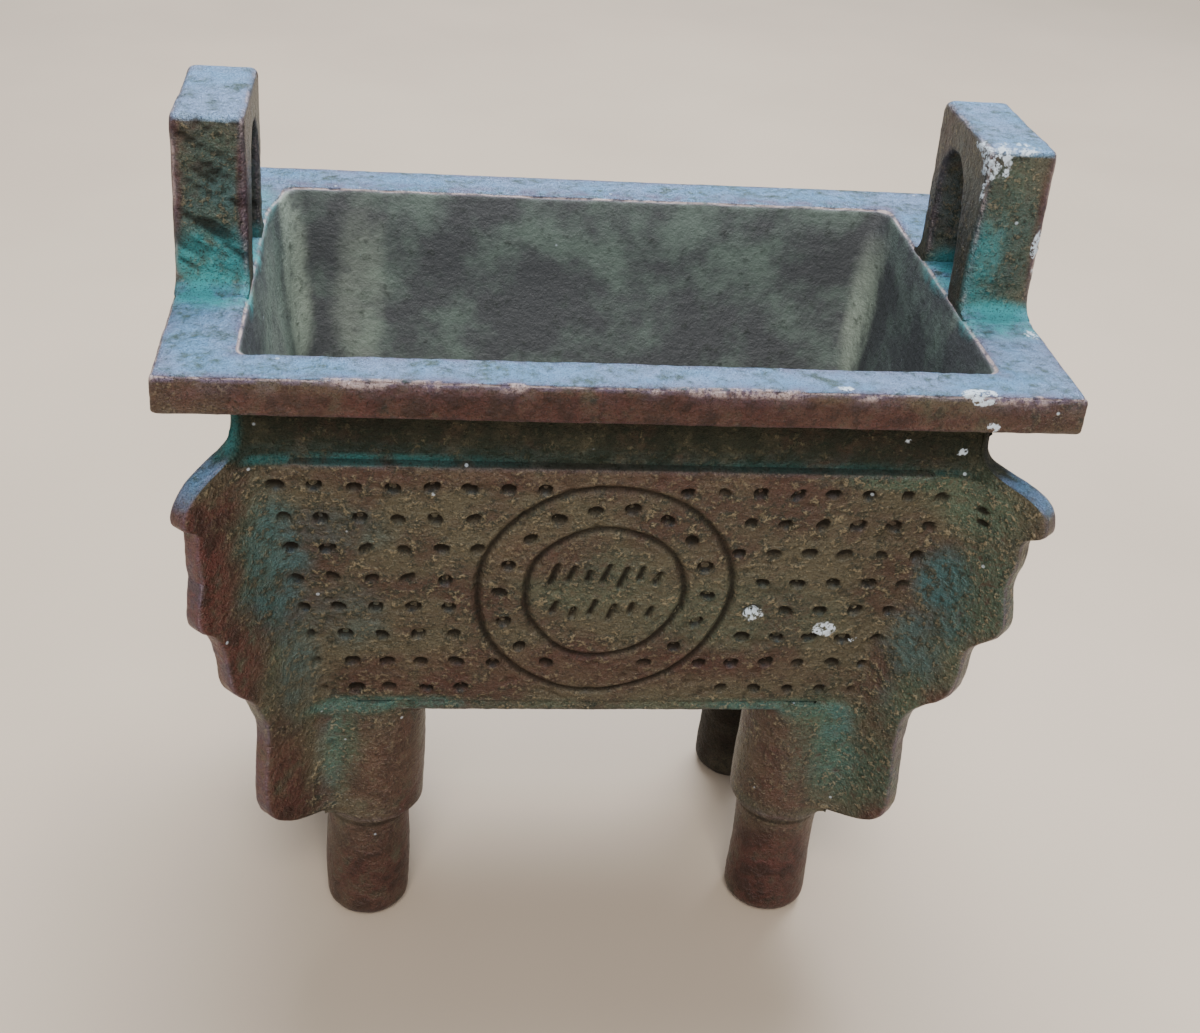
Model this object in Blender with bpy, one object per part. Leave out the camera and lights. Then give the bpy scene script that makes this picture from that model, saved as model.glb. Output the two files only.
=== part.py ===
"""A rectangular bronze incense burner: a tapered bowl under a flat rim, on four round legs.

Two upright ears with a slot stand on the rim's ends, and a scalloped fin runs down each corner of the bowl.
It is one casting. Lengths are in metres and +Z is up. The origin is on the ground under the middle of the
bowl, X runs along its length and the front, with the oval panel, looks towards -Y.
"""

import math

import bmesh
import bpy
from mathutils import Matrix, Vector

# Heights, from the ground up
LEG_CLEARANCE = 0.0352  # ground to the underside of the bowl
BAND_HEIGHT = 0.0019  # the plain strip under the panels
PANEL_HEIGHT = 0.0374
NECK_HEIGHT = 0.0082
RIM_THICKNESS = 0.0047

# Rim plate, which stands out past the neck
RIM_OVERHANG_ENDS = 0.0081
RIM_OVERHANG_SIDES = 0.0058
RIM_EDGE = 0.0004
RIM_CORNER = 0.0009

# Bowl, outside
PANEL_TOP_LENGTH = 0.0852
PANEL_TOP_WIDTH = 0.0542
PANEL_FOOT_LENGTH = 0.0748
PANEL_FOOT_WIDTH = 0.0402
BAND_INSET = 0.0006
NECK_INSET = 0.0007
COVE_RADIUS = 0.0022
BOWL_CORNER = 0.0012

# Bowl, inside
OPENING_INSET = 0.0006  # from the neck's outer face in to the opening's edge
OPENING_CORNER = 0.0015
LIP_EDGE = 0.0004
NECK_WALL = 0.0021
PANEL_WALL = 0.0027
FLOOR_THICKNESS = 0.0030
INSIDE_CORNER = 0.0035
INSIDE_ROUND = 0.0024

# Corner fins, diagonal and flat, which stand out from the bowl's corner edge
FIN_THICKNESS = 0.0032
FIN_EDGE = 0.0003
FIN_RISE = 0.0014
FIN_DROP = 0.0160
FIN_BLEND = 0.0020
FIN_SINK = 0.00006
FIN_ROOT = 0.0060
NECK_RIB_REACH = -0.0003  # the fin runs on up the neck's corner as a low rib
NECK_RIB_START = 0.0036
BEAK_REACH = 0.0092
BEAK_TIP = 0.088
BEAK_FOOT = 0.125
# Each scallop: its waist, belly and foot, as shares of the fin's height, and how far each stands out
SCALLOPS = (
    ((0.228, 0.0085), (0.325, 0.0103), (0.400, 0.0091)),
    ((0.446, 0.0080), (0.531, 0.0088), (0.616, 0.0059)),
    ((0.704, 0.0054), (0.880, 0.0059), (1.000, -0.0024)),
)
SCALLOP_TOP_REACH = 0.0077

# Legs
LEG_INSET_X = 0.0096  # from the panels' foot in to the leg's middle
LEG_INSET_Y = 0.00575
LEG_RADIUS = 0.0056
FOOT_ROUND = 0.0016
THIGH_RADIUS = 0.0069
THIGH_IN = 0.0001
THIGH_BACK = 0.00105
THIGH_HEIGHT = 0.0176
SHOULDER = 0.0012
SHOULDER_SINK = 0.0004  # how far the shoulder's lower edge lies inside the leg
SHOULDER_ROUND = 0.0002
LEG_SIDES = 18

# Ears
EAR_HEIGHT = 0.0200
EAR_WIDTH = 0.0200
EAR_SETBACK = 0.0001  # from the ear's inner face to the opening's edge, and the rim's end to its outer face
EAR_TAPER = 0.0002
EAR_EDGE = 0.0012
EAR_FLARE = 0.0014
SLOT_WIDTH = 0.0092
SLOT_SHIFT = 0.0016
SLOT_HEIGHT = 0.0152
SLOT_ARCH = 0.0046
SLOT_SIDES = 8
SLOT_SILL = 0.0003

# Rows of small pits on the front and the back
PIT_ROWS = 8
PIT_PITCH = 0.00427
PIT_RADIUS = 0.00070
PIT_DEPTH = 0.00050
PIT_FLOOR_RADIUS = 0.00035
PIT_SIDES = 6
PIT_MARGIN = 0.0045
PIT_TOP = 0.0031
PIT_FOOT = 0.0025
PIT_CLEARANCE = 0.0014  # from the oval out to the nearest pits beside it
PIT_CLEARANCE_TOP = 0.00035
LAST_ROW_START = 0.0130  # the lowest row keeps this far from the middle

# Oval panel on the front and the back
OVAL_RISE = -0.0003
OVAL_HALF_LENGTH = 0.0152
OVAL_HALF_HEIGHT = 0.0166
INNER_HALF_LENGTH = 0.0095
INNER_HALF_HEIGHT = 0.0104
GROOVE_WIDTH = 0.0007
GROOVE_DEPTH = 0.0004
GROOVE_SIDES = 32
RING_PITS = 18
RING_PITS_OMITTED = 2  # a gap at the ring's foot

# Two rows of plain strokes in the oval
# (height, number of strokes, half the row's length, longest stroke)
STROKE_ROWS = ((0.0031, 7, 0.0062, 0.0031), (-0.0026, 6, 0.0058, 0.0024))
STROKE_WIDTH = 0.00055
STROKE_LEAN = 24.0
STROKE_LEAN_WAVE = 2.3
STROKE_LENGTH_WAVE = 1.7
STROKE_ROW_PHASE = 1.9
STROKE_SHORTEST_SHARE = 0.5

OVERSHOOT = 0.004

BEAK_STEPS = 5
SCALLOP_STEPS = 4
ARC_STEPS = 3
SMALL_ARC_STEPS = 2

# Sizes and heights that follow
NECK_X = PANEL_TOP_LENGTH / 2 - NECK_INSET
NECK_Y = PANEL_TOP_WIDTH / 2 - NECK_INSET
RIM_X = NECK_X + RIM_OVERHANG_ENDS
RIM_Y = NECK_Y + RIM_OVERHANG_SIDES
OPENING_X = NECK_X - OPENING_INSET
OPENING_Y = NECK_Y - OPENING_INSET
LEG_X = PANEL_FOOT_LENGTH / 2 - LEG_INSET_X
LEG_Y = PANEL_FOOT_WIDTH / 2 - LEG_INSET_Y
PANEL_LEAN = (PANEL_TOP_WIDTH - PANEL_FOOT_WIDTH) / 2
PANEL_SLOPE = math.hypot(PANEL_HEIGHT, PANEL_LEAN)
PIT_ROW_STEP = (PANEL_SLOPE - PIT_TOP - PIT_FOOT) / (PIT_ROWS - 1)
BAND_TOP = LEG_CLEARANCE + BAND_HEIGHT
PANEL_TOP = BAND_TOP + PANEL_HEIGHT
RIM_UNDER = PANEL_TOP + NECK_HEIGHT
RIM_TOP = RIM_UNDER + RIM_THICKNESS
FIN_TOP = PANEL_TOP + FIN_RISE
FIN_FOOT = LEG_CLEARANCE - FIN_DROP
FIN_SPAN = FIN_TOP - FIN_FOOT


def clear_scene():
    for old in list(bpy.data.objects):
        bpy.data.objects.remove(old, do_unlink=True)


def bronze():
    material = bpy.data.materials.new("patinated_bronze")
    material.use_nodes = True
    shader = material.node_tree.nodes["Principled BSDF"]
    shader.inputs["Base Color"].default_value = (0.055, 0.050, 0.036, 1.0)
    shader.inputs["Metallic"].default_value = 0.6
    shader.inputs["Roughness"].default_value = 0.45
    return material


def add_object(name, mesh_builder, helper=True):
    """The bmesh as an object with outward faces. A helper only takes part in the Booleans."""
    bmesh.ops.recalc_face_normals(mesh_builder, faces=mesh_builder.faces)
    mesh = bpy.data.meshes.new(name)
    mesh_builder.to_mesh(mesh)
    mesh_builder.free()
    obj = bpy.data.objects.new(name, mesh)
    bpy.context.scene.collection.objects.link(obj)
    obj.hide_render = helper
    if helper:
        obj.display_type = "WIRE"
    return obj


def loft(builder, rings):
    """Joins closed rings of equal length with quads and fills the first and the last."""
    layers = [[builder.verts.new(point) for point in ring] for ring in rings]
    for low, high in zip(layers, layers[1:]):
        for i in range(len(low)):
            j = (i + 1) % len(low)
            builder.faces.new((low[i], low[j], high[j], high[i]))
    builder.faces.new(layers[0][::-1])
    builder.faces.new(layers[-1])


def combine(target, cutter, operation):
    modifier = target.modifiers.new(f"{operation.lower()} {cutter.name}", "BOOLEAN")
    modifier.operation = operation
    modifier.solver = "EXACT"
    modifier.object = cutter


def rounded_rectangle(half_x, half_y, radius, z, steps=ARC_STEPS, centre_x=0.0):
    """A closed ring at one height, counter-clockwise from above, with arcs of some steps at its corners."""
    ring = []
    for quarter in range(4):
        turn = quarter * math.pi / 2
        side_x = 1 if quarter in (0, 3) else -1
        side_y = 1 if quarter in (0, 1) else -1
        for step in range(steps + 1):
            angle = turn + step / steps * math.pi / 2
            x = centre_x + side_x * (half_x - radius) + radius * math.cos(angle)
            y = side_y * (half_y - radius) + radius * math.sin(angle)
            ring.append(Vector((x, y, z)))
    return ring


def rounded_edge(radius, steps):
    """(inset, rise) pairs up a rounded edge, from the flat face below it to the upright face."""
    pairs = []
    for step in range(steps + 1):
        angle = step / steps * math.pi / 2
        pairs.append((radius * (1 - math.sin(angle)), radius * (1 - math.cos(angle))))
    return pairs


def panel_half(z):
    """Half length and half width of the bowl's outside at a height, on the plane of the panels."""
    share = min(max((z - BAND_TOP) / PANEL_HEIGHT, 0.0), 1.0)
    half_x = (PANEL_FOOT_LENGTH + share * (PANEL_TOP_LENGTH - PANEL_FOOT_LENGTH)) / 2
    half_y = (PANEL_FOOT_WIDTH + share * (PANEL_TOP_WIDTH - PANEL_FOOT_WIDTH)) / 2
    if z > PANEL_TOP:
        inset = min(z - PANEL_TOP, NECK_INSET)
        half_x -= inset
        half_y -= inset
    return half_x, half_y


def make_bowl_outside():
    """The band, the tapered panels, the neck with its cove, and the rim plate, as one stack of rings."""
    builder = bmesh.new()
    foot_x, foot_y = panel_half(BAND_TOP)
    top_x, top_y = panel_half(PANEL_TOP)
    levels = [
        (LEG_CLEARANCE, foot_x - BAND_INSET, foot_y - BAND_INSET, BOWL_CORNER),
        (BAND_TOP - BAND_INSET / 2, foot_x - BAND_INSET, foot_y - BAND_INSET, BOWL_CORNER),
        (BAND_TOP, foot_x, foot_y, BOWL_CORNER),
        (PANEL_TOP, top_x, top_y, BOWL_CORNER),
        (PANEL_TOP + NECK_INSET, NECK_X, NECK_Y, BOWL_CORNER),
    ]
    for drop, out in rounded_edge(COVE_RADIUS, ARC_STEPS):
        levels.append((RIM_UNDER - drop, NECK_X + out, NECK_Y + out, BOWL_CORNER + out))
    levels += [
        (RIM_UNDER, RIM_X - RIM_EDGE, RIM_Y - RIM_EDGE, RIM_CORNER),
        (RIM_UNDER + RIM_EDGE, RIM_X, RIM_Y, RIM_CORNER),
        (RIM_TOP - RIM_EDGE, RIM_X, RIM_Y, RIM_CORNER),
        (RIM_TOP, RIM_X - RIM_EDGE, RIM_Y - RIM_EDGE, RIM_CORNER),
    ]
    loft(builder, [rounded_rectangle(x, y, radius, z) for z, x, y, radius in levels])
    return add_object("incense_burner", builder, helper=False)


def make_inside():
    """The hollow: a drafted well with a small rounded lip and a rounded edge round its floor."""
    builder = bmesh.new()
    floor = LEG_CLEARANCE + FLOOR_THICKNESS
    top_x, top_y = panel_half(PANEL_TOP)
    neck_inside_x = (NECK_X - NECK_WALL + OPENING_X) / 2
    neck_inside_y = (NECK_Y - NECK_WALL + OPENING_Y) / 2
    flare = LIP_EDGE + OVERSHOOT
    levels = []
    for inset, rise in rounded_edge(INSIDE_ROUND, SMALL_ARC_STEPS):
        z = floor + rise
        half_x, half_y = panel_half(z)
        levels.append((z, half_x - PANEL_WALL - inset, half_y - PANEL_WALL - inset, INSIDE_CORNER))
    levels += [
        (PANEL_TOP, top_x - PANEL_WALL, top_y - PANEL_WALL, INSIDE_CORNER),
        (RIM_UNDER, neck_inside_x, neck_inside_y, (INSIDE_CORNER + OPENING_CORNER) / 2),
        (RIM_TOP - LIP_EDGE, OPENING_X, OPENING_Y, OPENING_CORNER),
        (RIM_TOP + OVERSHOOT, OPENING_X + flare, OPENING_Y + flare, OPENING_CORNER + LIP_EDGE),
    ]
    loft(builder, [rounded_rectangle(x, y, radius, z) for z, x, y, radius in levels])
    return add_object("cut_inside", builder)


def corner_offset(z):
    """How far the bowl's corner edge at a height lies out from the panels' top corner, on the diagonal."""
    half_x, half_y = panel_half(min(z, PANEL_TOP))
    return (half_x - PANEL_TOP_LENGTH / 2 + half_y - PANEL_TOP_WIDTH / 2) * math.sqrt(0.5)


def quarter_arc(start, end, steps):
    """A quarter ellipse from a belly, where it runs straight down, to a foot, where it runs level."""
    (from_share, from_reach), (to_share, to_reach) = start, end
    points = []
    for step in range(1, steps + 1):
        angle = step / steps * math.pi / 2
        share = from_share + (to_share - from_share) * math.sin(angle)
        points.append((share, to_reach + (from_reach - to_reach) * math.cos(angle)))
    return points


def fin_outline():
    """(height, reach) pairs from the rim down: a rib up the neck, a hooked beak and three scallops.

    The reach is measured from the panels' top corner.
    """
    tip = (BEAK_TIP, BEAK_REACH)
    outline = quarter_arc(tip, (0.0, 0.0), BEAK_STEPS)[::-1]
    outline.append(tip)
    outline += quarter_arc(tip, (BEAK_FOOT, SCALLOP_TOP_REACH), ARC_STEPS)
    for waist, belly, foot in SCALLOPS:
        outline += [waist, belly]
        outline += quarter_arc(belly, foot, SCALLOP_STEPS)
    levels = [(RIM_UNDER + RIM_THICKNESS / 4, NECK_RIB_REACH), (PANEL_TOP + NECK_RIB_START, NECK_RIB_REACH)]
    for share, stand_out in outline:
        z = FIN_TOP - share * FIN_SPAN
        levels.append((z, corner_offset(z) + stand_out))
    return levels


def fin_ring(z, reach, side_x, side_y):
    """The fin's level section: a square-edged blade on the diagonal that spreads into both panels."""
    diagonal = math.sqrt(0.5)
    corner_x, corner_y = PANEL_TOP_LENGTH / 2, PANEL_TOP_WIDTH / 2
    half = FIN_THICKNESS / 2
    panel_x, panel_y = panel_half(z)

    def at(along, across):
        """A point from its distance out along the blade and its distance towards the end panel."""
        return Vector((corner_x + (along + across) * diagonal, corner_y + (along - across) * diagonal))

    if z > BAND_TOP:
        meet_front = (panel_y - corner_y) / diagonal - half
        meet_end = (panel_x - corner_x) / diagonal - half
        root = min(meet_front, meet_end) - FIN_ROOT
        front_wall = at(meet_front, -half) + Vector((-FIN_BLEND, -FIN_SINK))
        end_wall = at(meet_end, half) + Vector((-FIN_SINK, -FIN_BLEND))
    else:
        leg_centre = corner_offset(z) - (LEG_INSET_X + LEG_INSET_Y) * diagonal
        meet_front = meet_end = leg_centre + THIGH_RADIUS
        root = leg_centre
        front_wall = at(meet_front - FIN_BLEND, -half - FIN_BLEND / 2)
        end_wall = at(meet_end - FIN_BLEND, half + FIN_BLEND / 2)
    front_blade = min(meet_front + FIN_BLEND, reach - 2 * FIN_EDGE)
    end_blade = min(meet_end + FIN_BLEND, reach - 2 * FIN_EDGE)
    front_middle = (at(front_blade, -half) + front_wall) / 4 + at(meet_front, -half) / 2
    end_middle = (at(end_blade, half) + end_wall) / 4 + at(meet_end, half) / 2
    flat = [
        at(reach, -half + FIN_EDGE),
        at(reach, half - FIN_EDGE),
        at(reach - FIN_EDGE, half),
        at(end_blade, half),
        end_middle,
        end_wall,
        at(root, half),
        at(root, -half),
        front_wall,
        front_middle,
        at(front_blade, -half),
        at(reach - FIN_EDGE, -half),
    ]
    return [Vector((side_x * point.x, side_y * point.y, z)) for point in flat]


def make_fin(side_x, side_y):
    builder = bmesh.new()
    outline = fin_outline()[::-1]
    loft(builder, [fin_ring(z, reach, side_x, side_y) for z, reach in outline])
    return add_object(f"add_fin_{side_x}_{side_y}", builder)


def turned(builder, levels, centre_x, centre_y):
    """A round solid from (radius, height) pairs, listed from the bottom up."""
    rings = []
    for radius, z in levels:
        ring = []
        for side in range(LEG_SIDES):
            angle = 2 * math.pi * side / LEG_SIDES
            ring.append(Vector((centre_x + radius * math.cos(angle), centre_y + radius * math.sin(angle), z)))
        rings.append(ring)
    loft(builder, rings)


def make_leg(side_x, side_y):
    builder = bmesh.new()
    inside = LEG_CLEARANCE + FLOOR_THICKNESS / 2
    levels = [(LEG_RADIUS - inset, rise) for inset, rise in rounded_edge(FOOT_ROUND, SMALL_ARC_STEPS)]
    levels.append((LEG_RADIUS, inside))
    turned(builder, levels, side_x * LEG_X, side_y * LEG_Y)
    return add_object(f"add_leg_{side_x}_{side_y}", builder)


def make_thigh(side_x, side_y):
    """The thicker upper stretch of a leg, a little nearer to the middle, over a sloping shoulder."""
    builder = bmesh.new()
    foot = LEG_CLEARANCE - THIGH_HEIGHT
    top = LEG_CLEARANCE + 2 * FLOOR_THICKNESS / 3
    levels = [
        (LEG_RADIUS - SHOULDER_SINK, foot - SHOULDER),
        (THIGH_RADIUS - SHOULDER_ROUND, foot),
        (THIGH_RADIUS, foot + SHOULDER),
        (THIGH_RADIUS, top),
    ]
    turned(builder, levels, side_x * (LEG_X - THIGH_IN), side_y * (LEG_Y - THIGH_BACK))
    return add_object(f"add_thigh_{side_x}_{side_y}", builder)


def make_ear(side_x):
    """An upright slab, flush with the rim's end and the opening's edge, with a flared foot and rounded top."""
    builder = bmesh.new()
    top = RIM_TOP + EAR_HEIGHT
    # Height, how far the faces are drawn in, and the extra half width
    levels = [(RIM_TOP - RIM_THICKNESS / 2, 0.0, EAR_FLARE)]
    for flare, rise in reversed(rounded_edge(EAR_FLARE, SMALL_ARC_STEPS)):
        levels.append((RIM_TOP + EAR_FLARE - rise, 0.0, EAR_FLARE - flare))
    for drawn, rise in reversed(rounded_edge(EAR_EDGE, SMALL_ARC_STEPS)):
        levels.append((top - rise, drawn, -drawn))
    rings = []
    for z, drawn, flare in levels:
        share = min(max((z - RIM_TOP) / EAR_HEIGHT, 0.0), 1.0)
        outside = RIM_X - EAR_SETBACK - EAR_TAPER * share - drawn
        inside = OPENING_X + EAR_SETBACK + drawn
        middle = side_x * (outside + inside) / 2
        half_y = EAR_WIDTH / 2 + flare
        ring = rounded_rectangle((outside - inside) / 2, half_y, EAR_EDGE / 2, z, SMALL_ARC_STEPS, middle)
        rings.append(ring)
    loft(builder, rings)
    return add_object(f"add_ear_{side_x}", builder)


def make_slot(side_x):
    """The opening through an ear: straight sides from the rim up, and an arched top."""
    builder = bmesh.new()
    half = SLOT_WIDTH / 2
    spring = SLOT_HEIGHT - SLOT_ARCH
    section = [(half, 0.0), (half, spring)]
    for side in range(1, SLOT_SIDES):
        angle = math.pi * side / SLOT_SIDES
        section.append((half * math.cos(angle), spring + SLOT_ARCH * math.sin(angle)))
    section += [(-half, spring), (-half, 0.0)]
    rings = []
    for x in (OPENING_X - OVERSHOOT, RIM_X + OVERSHOOT):
        rings.append([Vector((side_x * x, SLOT_SHIFT + y, RIM_TOP + SLOT_SILL + z)) for y, z in section])
    loft(builder, rings)
    return add_object(f"cut_slot_{side_x}", builder)


def panel_frame(side):
    """Places flat marks on a long panel: x along it, y up its slope, z out of it. Side -1 is the front."""
    half_y = (PANEL_FOOT_WIDTH + PANEL_TOP_WIDTH) / 4
    rise = Vector((0.0, side * PANEL_LEAN, PANEL_HEIGHT)).normalized()
    along = Vector((-side, 0.0, 0.0))
    out = along.cross(rise)
    centre = Vector((0.0, side * half_y, BAND_TOP + PANEL_HEIGHT / 2))
    return Matrix.Translation(centre) @ Matrix((along, rise, out)).transposed().to_4x4()


def row_pits():
    """(x, height) of the pits in rows, which follow the taper and stop short of the oval."""
    places = []
    taper = (PANEL_TOP_LENGTH - PANEL_FOOT_LENGTH) / 2 / PANEL_SLOPE
    reach_x = OVAL_HALF_LENGTH + PIT_CLEARANCE
    reach_y = OVAL_HALF_HEIGHT + PIT_CLEARANCE_TOP
    for row in range(PIT_ROWS):
        drop = PIT_TOP + row * PIT_ROW_STEP
        height = PANEL_SLOPE / 2 - drop
        outermost = PANEL_TOP_LENGTH / 2 - PIT_MARGIN - taper * drop
        start = LAST_ROW_START if row == PIT_ROWS - 1 else 0.0
        for column in range(int(outermost / PIT_PITCH) + 1):
            x = outermost - column * PIT_PITCH
            if x > start and (x / reach_x) ** 2 + ((height - OVAL_RISE) / reach_y) ** 2 > 1:
                places += [(x, height), (-x, height)]
    return places


def ring_pits():
    """(x, height) of the pits between the two ovals, with a gap at the foot."""
    places = []
    middle_x = (OVAL_HALF_LENGTH + INNER_HALF_LENGTH) / 2
    middle_y = (OVAL_HALF_HEIGHT + INNER_HALF_HEIGHT) / 2
    for step in range(RING_PITS - RING_PITS_OMITTED):
        angle = -math.pi / 2 + 2 * math.pi * (step + (RING_PITS_OMITTED + 1) / 2) / RING_PITS
        places.append((middle_x * math.cos(angle), OVAL_RISE + middle_y * math.sin(angle)))
    return places


def pit_cutter(builder, place, frame):
    """A blunt cone, which has the pit's radius where it meets the panel."""
    x, height = place
    lift = PIT_RADIUS
    depth = PIT_DEPTH + lift
    middle = Matrix.Translation((x, height, lift - depth / 2))
    spread = (PIT_RADIUS - PIT_FLOOR_RADIUS) / PIT_DEPTH
    bmesh.ops.create_cone(
        builder,
        cap_ends=True,
        segments=PIT_SIDES,
        radius1=PIT_FLOOR_RADIUS,
        radius2=PIT_RADIUS + spread * lift,
        depth=depth,
        matrix=frame @ middle,
    )


def groove_cutter(builder, half_length, half_height, frame):
    """A closed ring with a triangular section, point down and half sunk into the panel."""
    rings = []
    for side in range(GROOVE_SIDES):
        angle = 2 * math.pi * side / GROOVE_SIDES
        ring = []
        for out, lift in ((-1, 1), (0, -1), (1, 1)):
            x = (half_length + out * GROOVE_WIDTH) * math.cos(angle)
            y = OVAL_RISE + (half_height + out * GROOVE_WIDTH) * math.sin(angle)
            ring.append(builder.verts.new(frame @ Vector((x, y, lift * GROOVE_DEPTH))))
        rings.append(ring)
    for i, ring in enumerate(rings):
        following = rings[(i + 1) % GROOVE_SIDES]
        for j in range(len(ring)):
            k = (j + 1) % len(ring)
            builder.faces.new((ring[j], following[j], following[k], ring[k]))


def stroke_cutter(builder, x, y, length, lean, frame):
    """One shallow wedge, pointed at both ends, from a pyramid that stands on its tip, half sunk."""
    turn = Matrix.Rotation(math.radians(lean), 4, "Z")
    place = frame @ Matrix.Translation((x, y, 0.0)) @ turn
    lift = GROOVE_DEPTH
    points = [(0, length, lift), (-STROKE_WIDTH, 0, lift), (0, -length, lift), (STROKE_WIDTH, 0, lift)]
    base = [builder.verts.new(place @ Vector(point)) for point in points]
    tip = builder.verts.new(place @ Vector((0, 0, -lift)))
    builder.faces.new(base)
    for i in range(len(base)):
        builder.faces.new((base[(i + 1) % len(base)], base[i], tip))


def make_pits(side, finished):
    """The pits of one long panel. The plainer back has no ring of them in its oval."""
    builder = bmesh.new()
    frame = panel_frame(side)
    for place in row_pits() + (ring_pits() if finished else []):
        pit_cutter(builder, place, frame)
    return add_object(f"cut_pits_{side}", builder)


def make_ovals(side, finished):
    """The oval grooves of one long panel. The plainer back has only the outer one."""
    builder = bmesh.new()
    frame = panel_frame(side)
    groove_cutter(builder, OVAL_HALF_LENGTH, OVAL_HALF_HEIGHT, frame)
    if finished:
        groove_cutter(builder, INNER_HALF_LENGTH, INNER_HALF_HEIGHT, frame)
    return add_object(f"cut_ovals_{side}", builder)


def make_strokes(side):
    """Rows of short strokes with varied lengths and leans, inside the inner oval."""
    builder = bmesh.new()
    frame = panel_frame(side)
    for row, (y, count, half_span, length) in enumerate(STROKE_ROWS):
        for i in range(count):
            x = half_span * (2 * i / (count - 1) - 1)
            phase = STROKE_ROW_PHASE * row
            lean = STROKE_LEAN * math.sin(STROKE_LEAN_WAVE * i + phase)
            share = (1 + math.cos(STROKE_LENGTH_WAVE * i + phase)) / 2
            tall = length * (STROKE_SHORTEST_SHARE + (1 - STROKE_SHORTEST_SHARE) * share)
            stroke_cutter(builder, x, OVAL_RISE + y, tall, lean, frame)
    return add_object(f"cut_strokes_{side}", builder)


def main():
    clear_scene()
    burner = make_bowl_outside()
    for side_x in (-1, 1):
        for side_y in (-1, 1):
            for make in (make_fin, make_leg, make_thigh):
                combine(burner, make(side_x, side_y), "UNION")
    combine(burner, make_inside(), "DIFFERENCE")
    for side_x in (-1, 1):
        combine(burner, make_ear(side_x), "UNION")
        combine(burner, make_slot(side_x), "DIFFERENCE")
    for side, finished in ((-1, True), (1, False)):
        combine(burner, make_pits(side, finished), "DIFFERENCE")
        combine(burner, make_ovals(side, finished), "DIFFERENCE")
    combine(burner, make_strokes(-1), "DIFFERENCE")
    burner.data.materials.append(bronze())


main()
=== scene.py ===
"""Dresses a cast bronze incense burner: the worn, patinated surface, the floor, the light and the camera.

Lengths are in metres, +Z is up and the origin is on the ground under the middle of the bowl. X runs along
the bowl's length and its front looks towards -Y.
"""

import math

import bpy
import numpy as np
from bpy.props import FloatProperty, FloatVectorProperty, PointerProperty
from mathutils import Matrix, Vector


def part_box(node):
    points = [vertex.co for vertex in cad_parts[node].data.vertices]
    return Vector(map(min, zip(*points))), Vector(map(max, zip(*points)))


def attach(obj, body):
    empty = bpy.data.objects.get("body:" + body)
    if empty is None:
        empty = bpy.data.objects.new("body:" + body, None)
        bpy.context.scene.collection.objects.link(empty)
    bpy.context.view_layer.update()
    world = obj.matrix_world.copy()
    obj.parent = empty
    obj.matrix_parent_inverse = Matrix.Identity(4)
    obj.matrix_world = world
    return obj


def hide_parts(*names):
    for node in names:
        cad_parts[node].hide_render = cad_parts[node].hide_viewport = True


bl_info = {
    "name": "Bronze incense burner",
    "version": (1, 0, 0),
    "blender": (4, 5, 0),
    "location": "View3D > Sidebar > Burner",
    "description": "Builds a rectangular bronze incense burner with fins, ears and an old patina",
    "category": "Add Mesh",
}

NODE = "incense_burner"
BODY = "root"

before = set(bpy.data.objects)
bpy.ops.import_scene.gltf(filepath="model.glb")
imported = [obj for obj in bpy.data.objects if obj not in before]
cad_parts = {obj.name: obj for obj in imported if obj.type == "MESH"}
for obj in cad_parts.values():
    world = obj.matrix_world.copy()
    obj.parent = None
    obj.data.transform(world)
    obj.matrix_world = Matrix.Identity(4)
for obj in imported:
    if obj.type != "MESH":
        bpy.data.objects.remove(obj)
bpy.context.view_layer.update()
BOX_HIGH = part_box(NODE)[1]

# The rim's end and the ears' tops, from the solid
RIM_X = BOX_HIGH[0]
TOP_Z = BOX_HIGH[2]

# Hidden surfaces close each shell inside the thickness of the casting
WALL_HIDDEN = 0.0013
LINING_HIDDEN = 0.0018
POLE = 0.0015

# How many points each stretch of a ring has: front, corner, end, back
WALL_COUNTS = (340, 6, 60, 60)
RIM_COUNTS = (205, 7, 105, 205)


def length(name, description, default):
    return FloatProperty(name=name, description=description, default=default, unit="LENGTH", precision=5)


def colour(name, description, default):
    return FloatVectorProperty(
        name=name, description=description, default=default, subtype="COLOR", size=3, min=0.0, max=1.0
    )


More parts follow.
